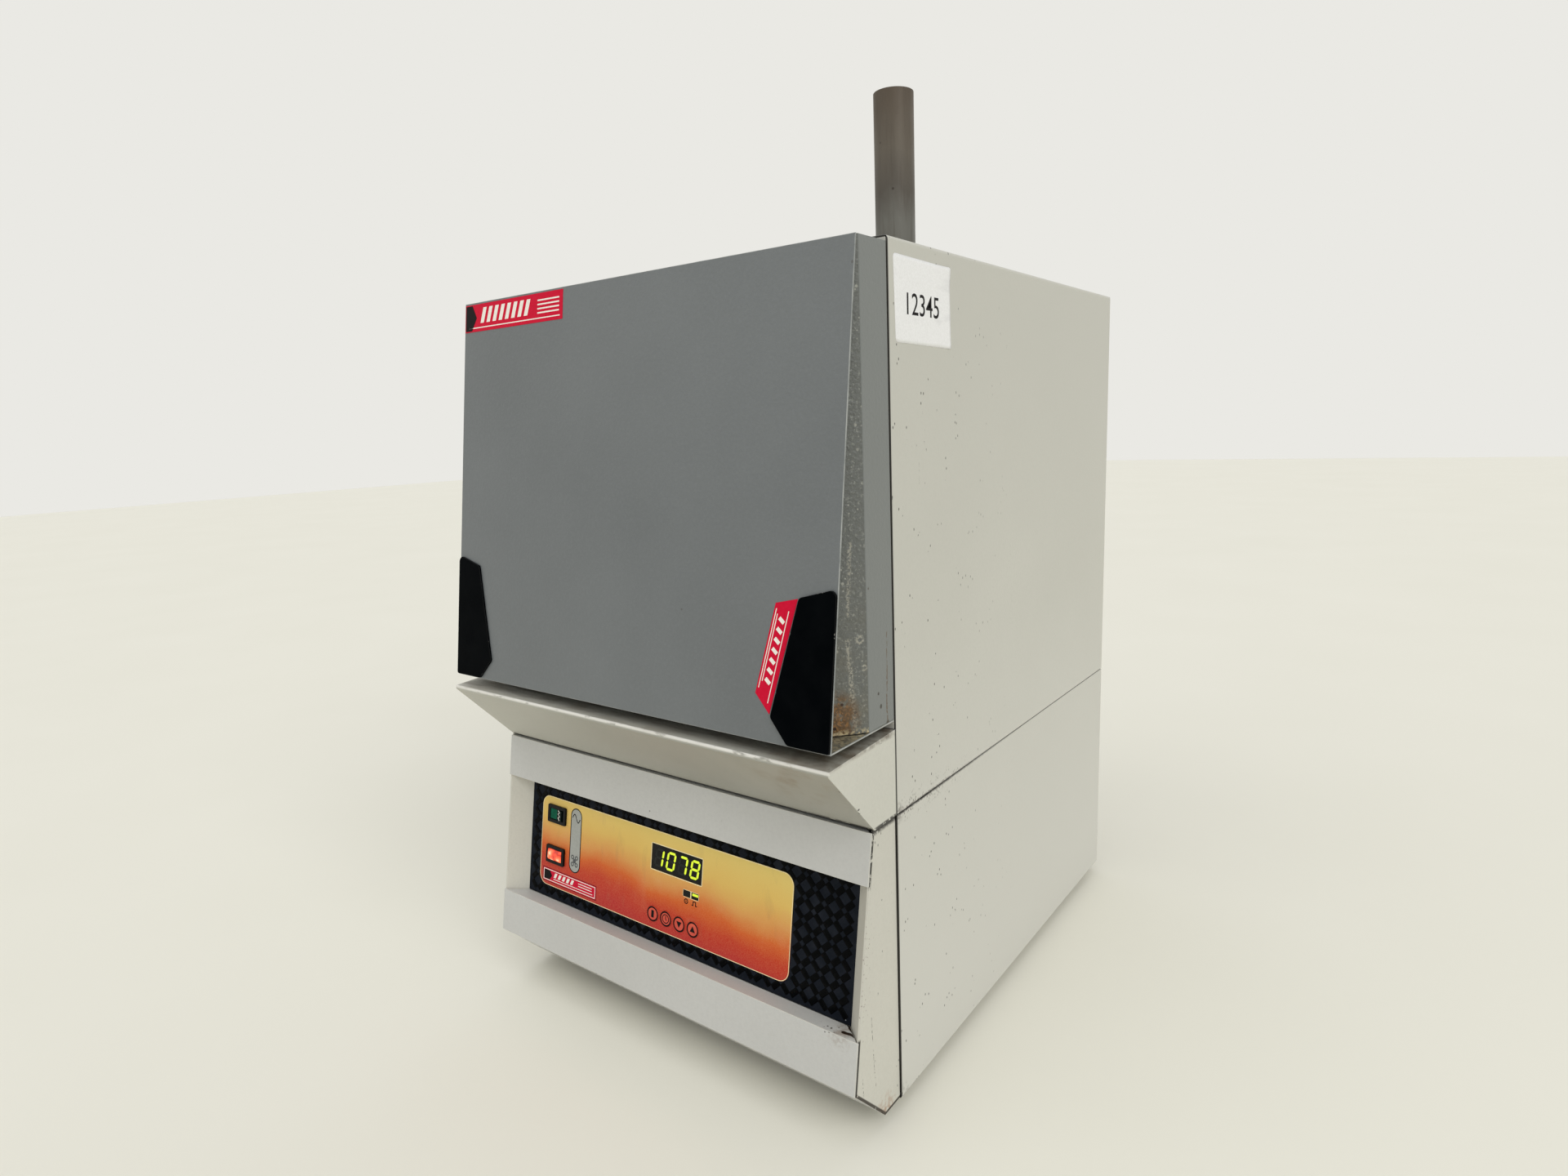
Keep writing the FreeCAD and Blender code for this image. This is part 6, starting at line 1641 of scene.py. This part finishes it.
def stick_paper():
    """White paper sticker on the right side, with a curling corner."""
    left, low, right, high = STICKER
    columns, rows = 30, 21
    points, faces = [], []
    for row in range(rows + 1):
        for column in range(columns + 1):
            u, v = column / columns, row / rows
            x, y = left + (right - left) * u, low + (high - low) * v
            if column in (0, columns) and row in (0, rows):
                x += 0.75 if column == 0 else -0.75
                y += 0.75 if row == 0 else -0.75
            curl = max(0.0, u + v - 1.72) + max(0.0, u - v - 0.86)
            points.append((x - 2.0 * v, y + 1.2 * (0.5 - u), 0.12 + 8 * curl ** 1.5))
    for row in range(rows):
        for column in range(columns):
            first = row * (columns + 1) + column
            faces.append((first, first + 1, first + columns + 2, first + columns + 1))
    mesh = bpy.data.meshes.new("side_sticker")
    mesh.from_pydata(points, [], faces)
    mesh.transform(SIDE)
    thing = settled("side_sticker", mesh)
    smoothed(thing)
    sheet = thing.modifiers.new("paper", "SOLIDIFY")
    sheet.thickness = 0.1 * MM
    sheet.offset = -1.0
    freeze(thing)
    finish_piece(thing, "furnace", [sticker_paper()])


def print_number():
    """Plain number on the sticker."""
    words = bpy.data.curves.new("sticker_number", "FONT")
    words.body = "12345"
    words.extrude = 0.01
    words.offset = 0.002
    holder = settled("sticker_number_drawing", words)
    graph = bpy.context.evaluated_depsgraph_get()
    number = bpy.data.meshes.new_from_object(holder.evaluated_get(graph))
    bpy.data.objects.remove(holder)
    across, up = ([point.co[axis] for point in number.vertices] for axis in (0, 1))
    fit = Matrix.Diagonal((NUMBER_SIZE[0] / (max(across) - min(across)),
                           NUMBER_SIZE[1] / (max(up) - min(up)), 1.0, 1.0))
    number.transform(SIDE @ Matrix.Translation(NUMBER_PLACE) @ fit @
                     Matrix.Translation((-min(across), -min(up), 0)))
    number.materials.clear()
    finish_piece(settled("sticker_digits", tidied(number)), "furnace", [dark_ink])


dress_bodywork()
fit_grips()
cap_gland()
dress_mechanism()
dress_lining()
dress_controls()
wind_coils()
drive_screws()
stand_feet()
emboss_overlay()
print_label_frame()
light_display()
light_status()
print_pill()
print_keys()
mark_rocker()
fix_panel_badge()
fix_door_badge()
fix_grip_strip()
stick_paper()
print_number()
paint_the_rest()


# Studio

def lay_floor():
    """Pale bench top that fades into the backdrop."""
    finish = Finish("bench_top", 0.7, specular=0.2)
    cloud = finish.noise(0.35, 2)
    finish.colour(finish.mixed(cloud, srgb(232, 230, 217), srgb(236, 234, 222)))
    mesh = bpy.data.meshes.new("bench")
    reach = 9.0
    mesh.from_pydata([(-reach, -reach, 0), (reach, -reach, 0), (reach, reach, 0),
                      (-reach, reach, 0)], [], [(0, 1, 2, 3)])
    mesh.materials.append(finish.material)
    settled("bench", mesh)


def light_world():
    """Soft even light, with a pale backdrop where the camera or a reflection sees it."""
    world = bpy.data.worlds.new("studio")
    bpy.context.scene.world = world
    world.use_nodes = True
    tree = world.node_tree
    tree.nodes.clear()
    soft = add_node(tree, "ShaderNodeBackground", {
        "Color": (1.0, 1.0, 1.0, 1.0), "Strength": 0.55}, {})
    seen = add_node(tree, "ShaderNodeBackground", {
        "Color": srgb(234, 233, 228), "Strength": 1.0}, {})
    rays = add_node(tree, "ShaderNodeLightPath", {}, {})
    either = rays.outputs["Is Camera Ray"]
    for name in ("Is Glossy Ray", "Is Transmission Ray"):
        either = add_node(tree, "ShaderNodeMath", {0: either, 1: rays.outputs[name]},
                          {"operation": "MAXIMUM"}).outputs[0]
    mix = add_node(tree, "ShaderNodeMixShader", {
        0: either, 1: soft.outputs[0], 2: seen.outputs[0]}, {})
    end = tree.nodes.new("ShaderNodeOutputWorld")
    tree.links.new(mix.outputs[0], end.inputs["Surface"])


def hang_sun(name, place, strength, softness):
    """Wide soft light, alike over the whole floor, that shines from a place at the part."""
    data = bpy.data.lights.new(name, "SUN")
    data.energy = strength
    data.angle = math.radians(softness)
    lamp = settled(name, data)
    lamp.rotation_euler = (-Vector(place)).to_track_quat("-Z", "Y").to_euler()
    lamp.location = place


CAMERA_PLACE = (0.47596, -0.67496, 0.48356)
CAMERA_AIM = (-0.59465, 0.78449, -0.17596)


def set_camera():
    """Camera at the photograph's place and angle."""
    data = bpy.data.cameras.new("camera")
    data.sensor_width = 36
    data.lens = 20.826
    yaw, roll = math.radians(37.162), math.radians(-2.217)
    forward = Vector(CAMERA_AIM).normalized()
    level = Vector((math.cos(yaw), math.sin(yaw), 0))
    upright = level.cross(forward)
    right = level * math.cos(roll) + upright * math.sin(roll)
    up = upright * math.cos(roll) - level * math.sin(roll)
    camera = settled("camera", data)
    camera.matrix_world = Matrix.Translation(CAMERA_PLACE) @ \
        Matrix((right, up, -forward)).transposed().to_4x4()
    bpy.context.scene.camera = camera


lay_floor()
light_world()
hang_sun("key_sun", (1.7, -0.75, 1.5), 1.05, 40)
hang_sun("fill_sun", (-0.9, -1.8, 1.6), 0.25, 50)
hang_sun("top_sun", (-0.2, -0.3, 2.0), 0.5, 60)
set_camera()
bpy.context.scene.view_settings.view_transform = "Standard"
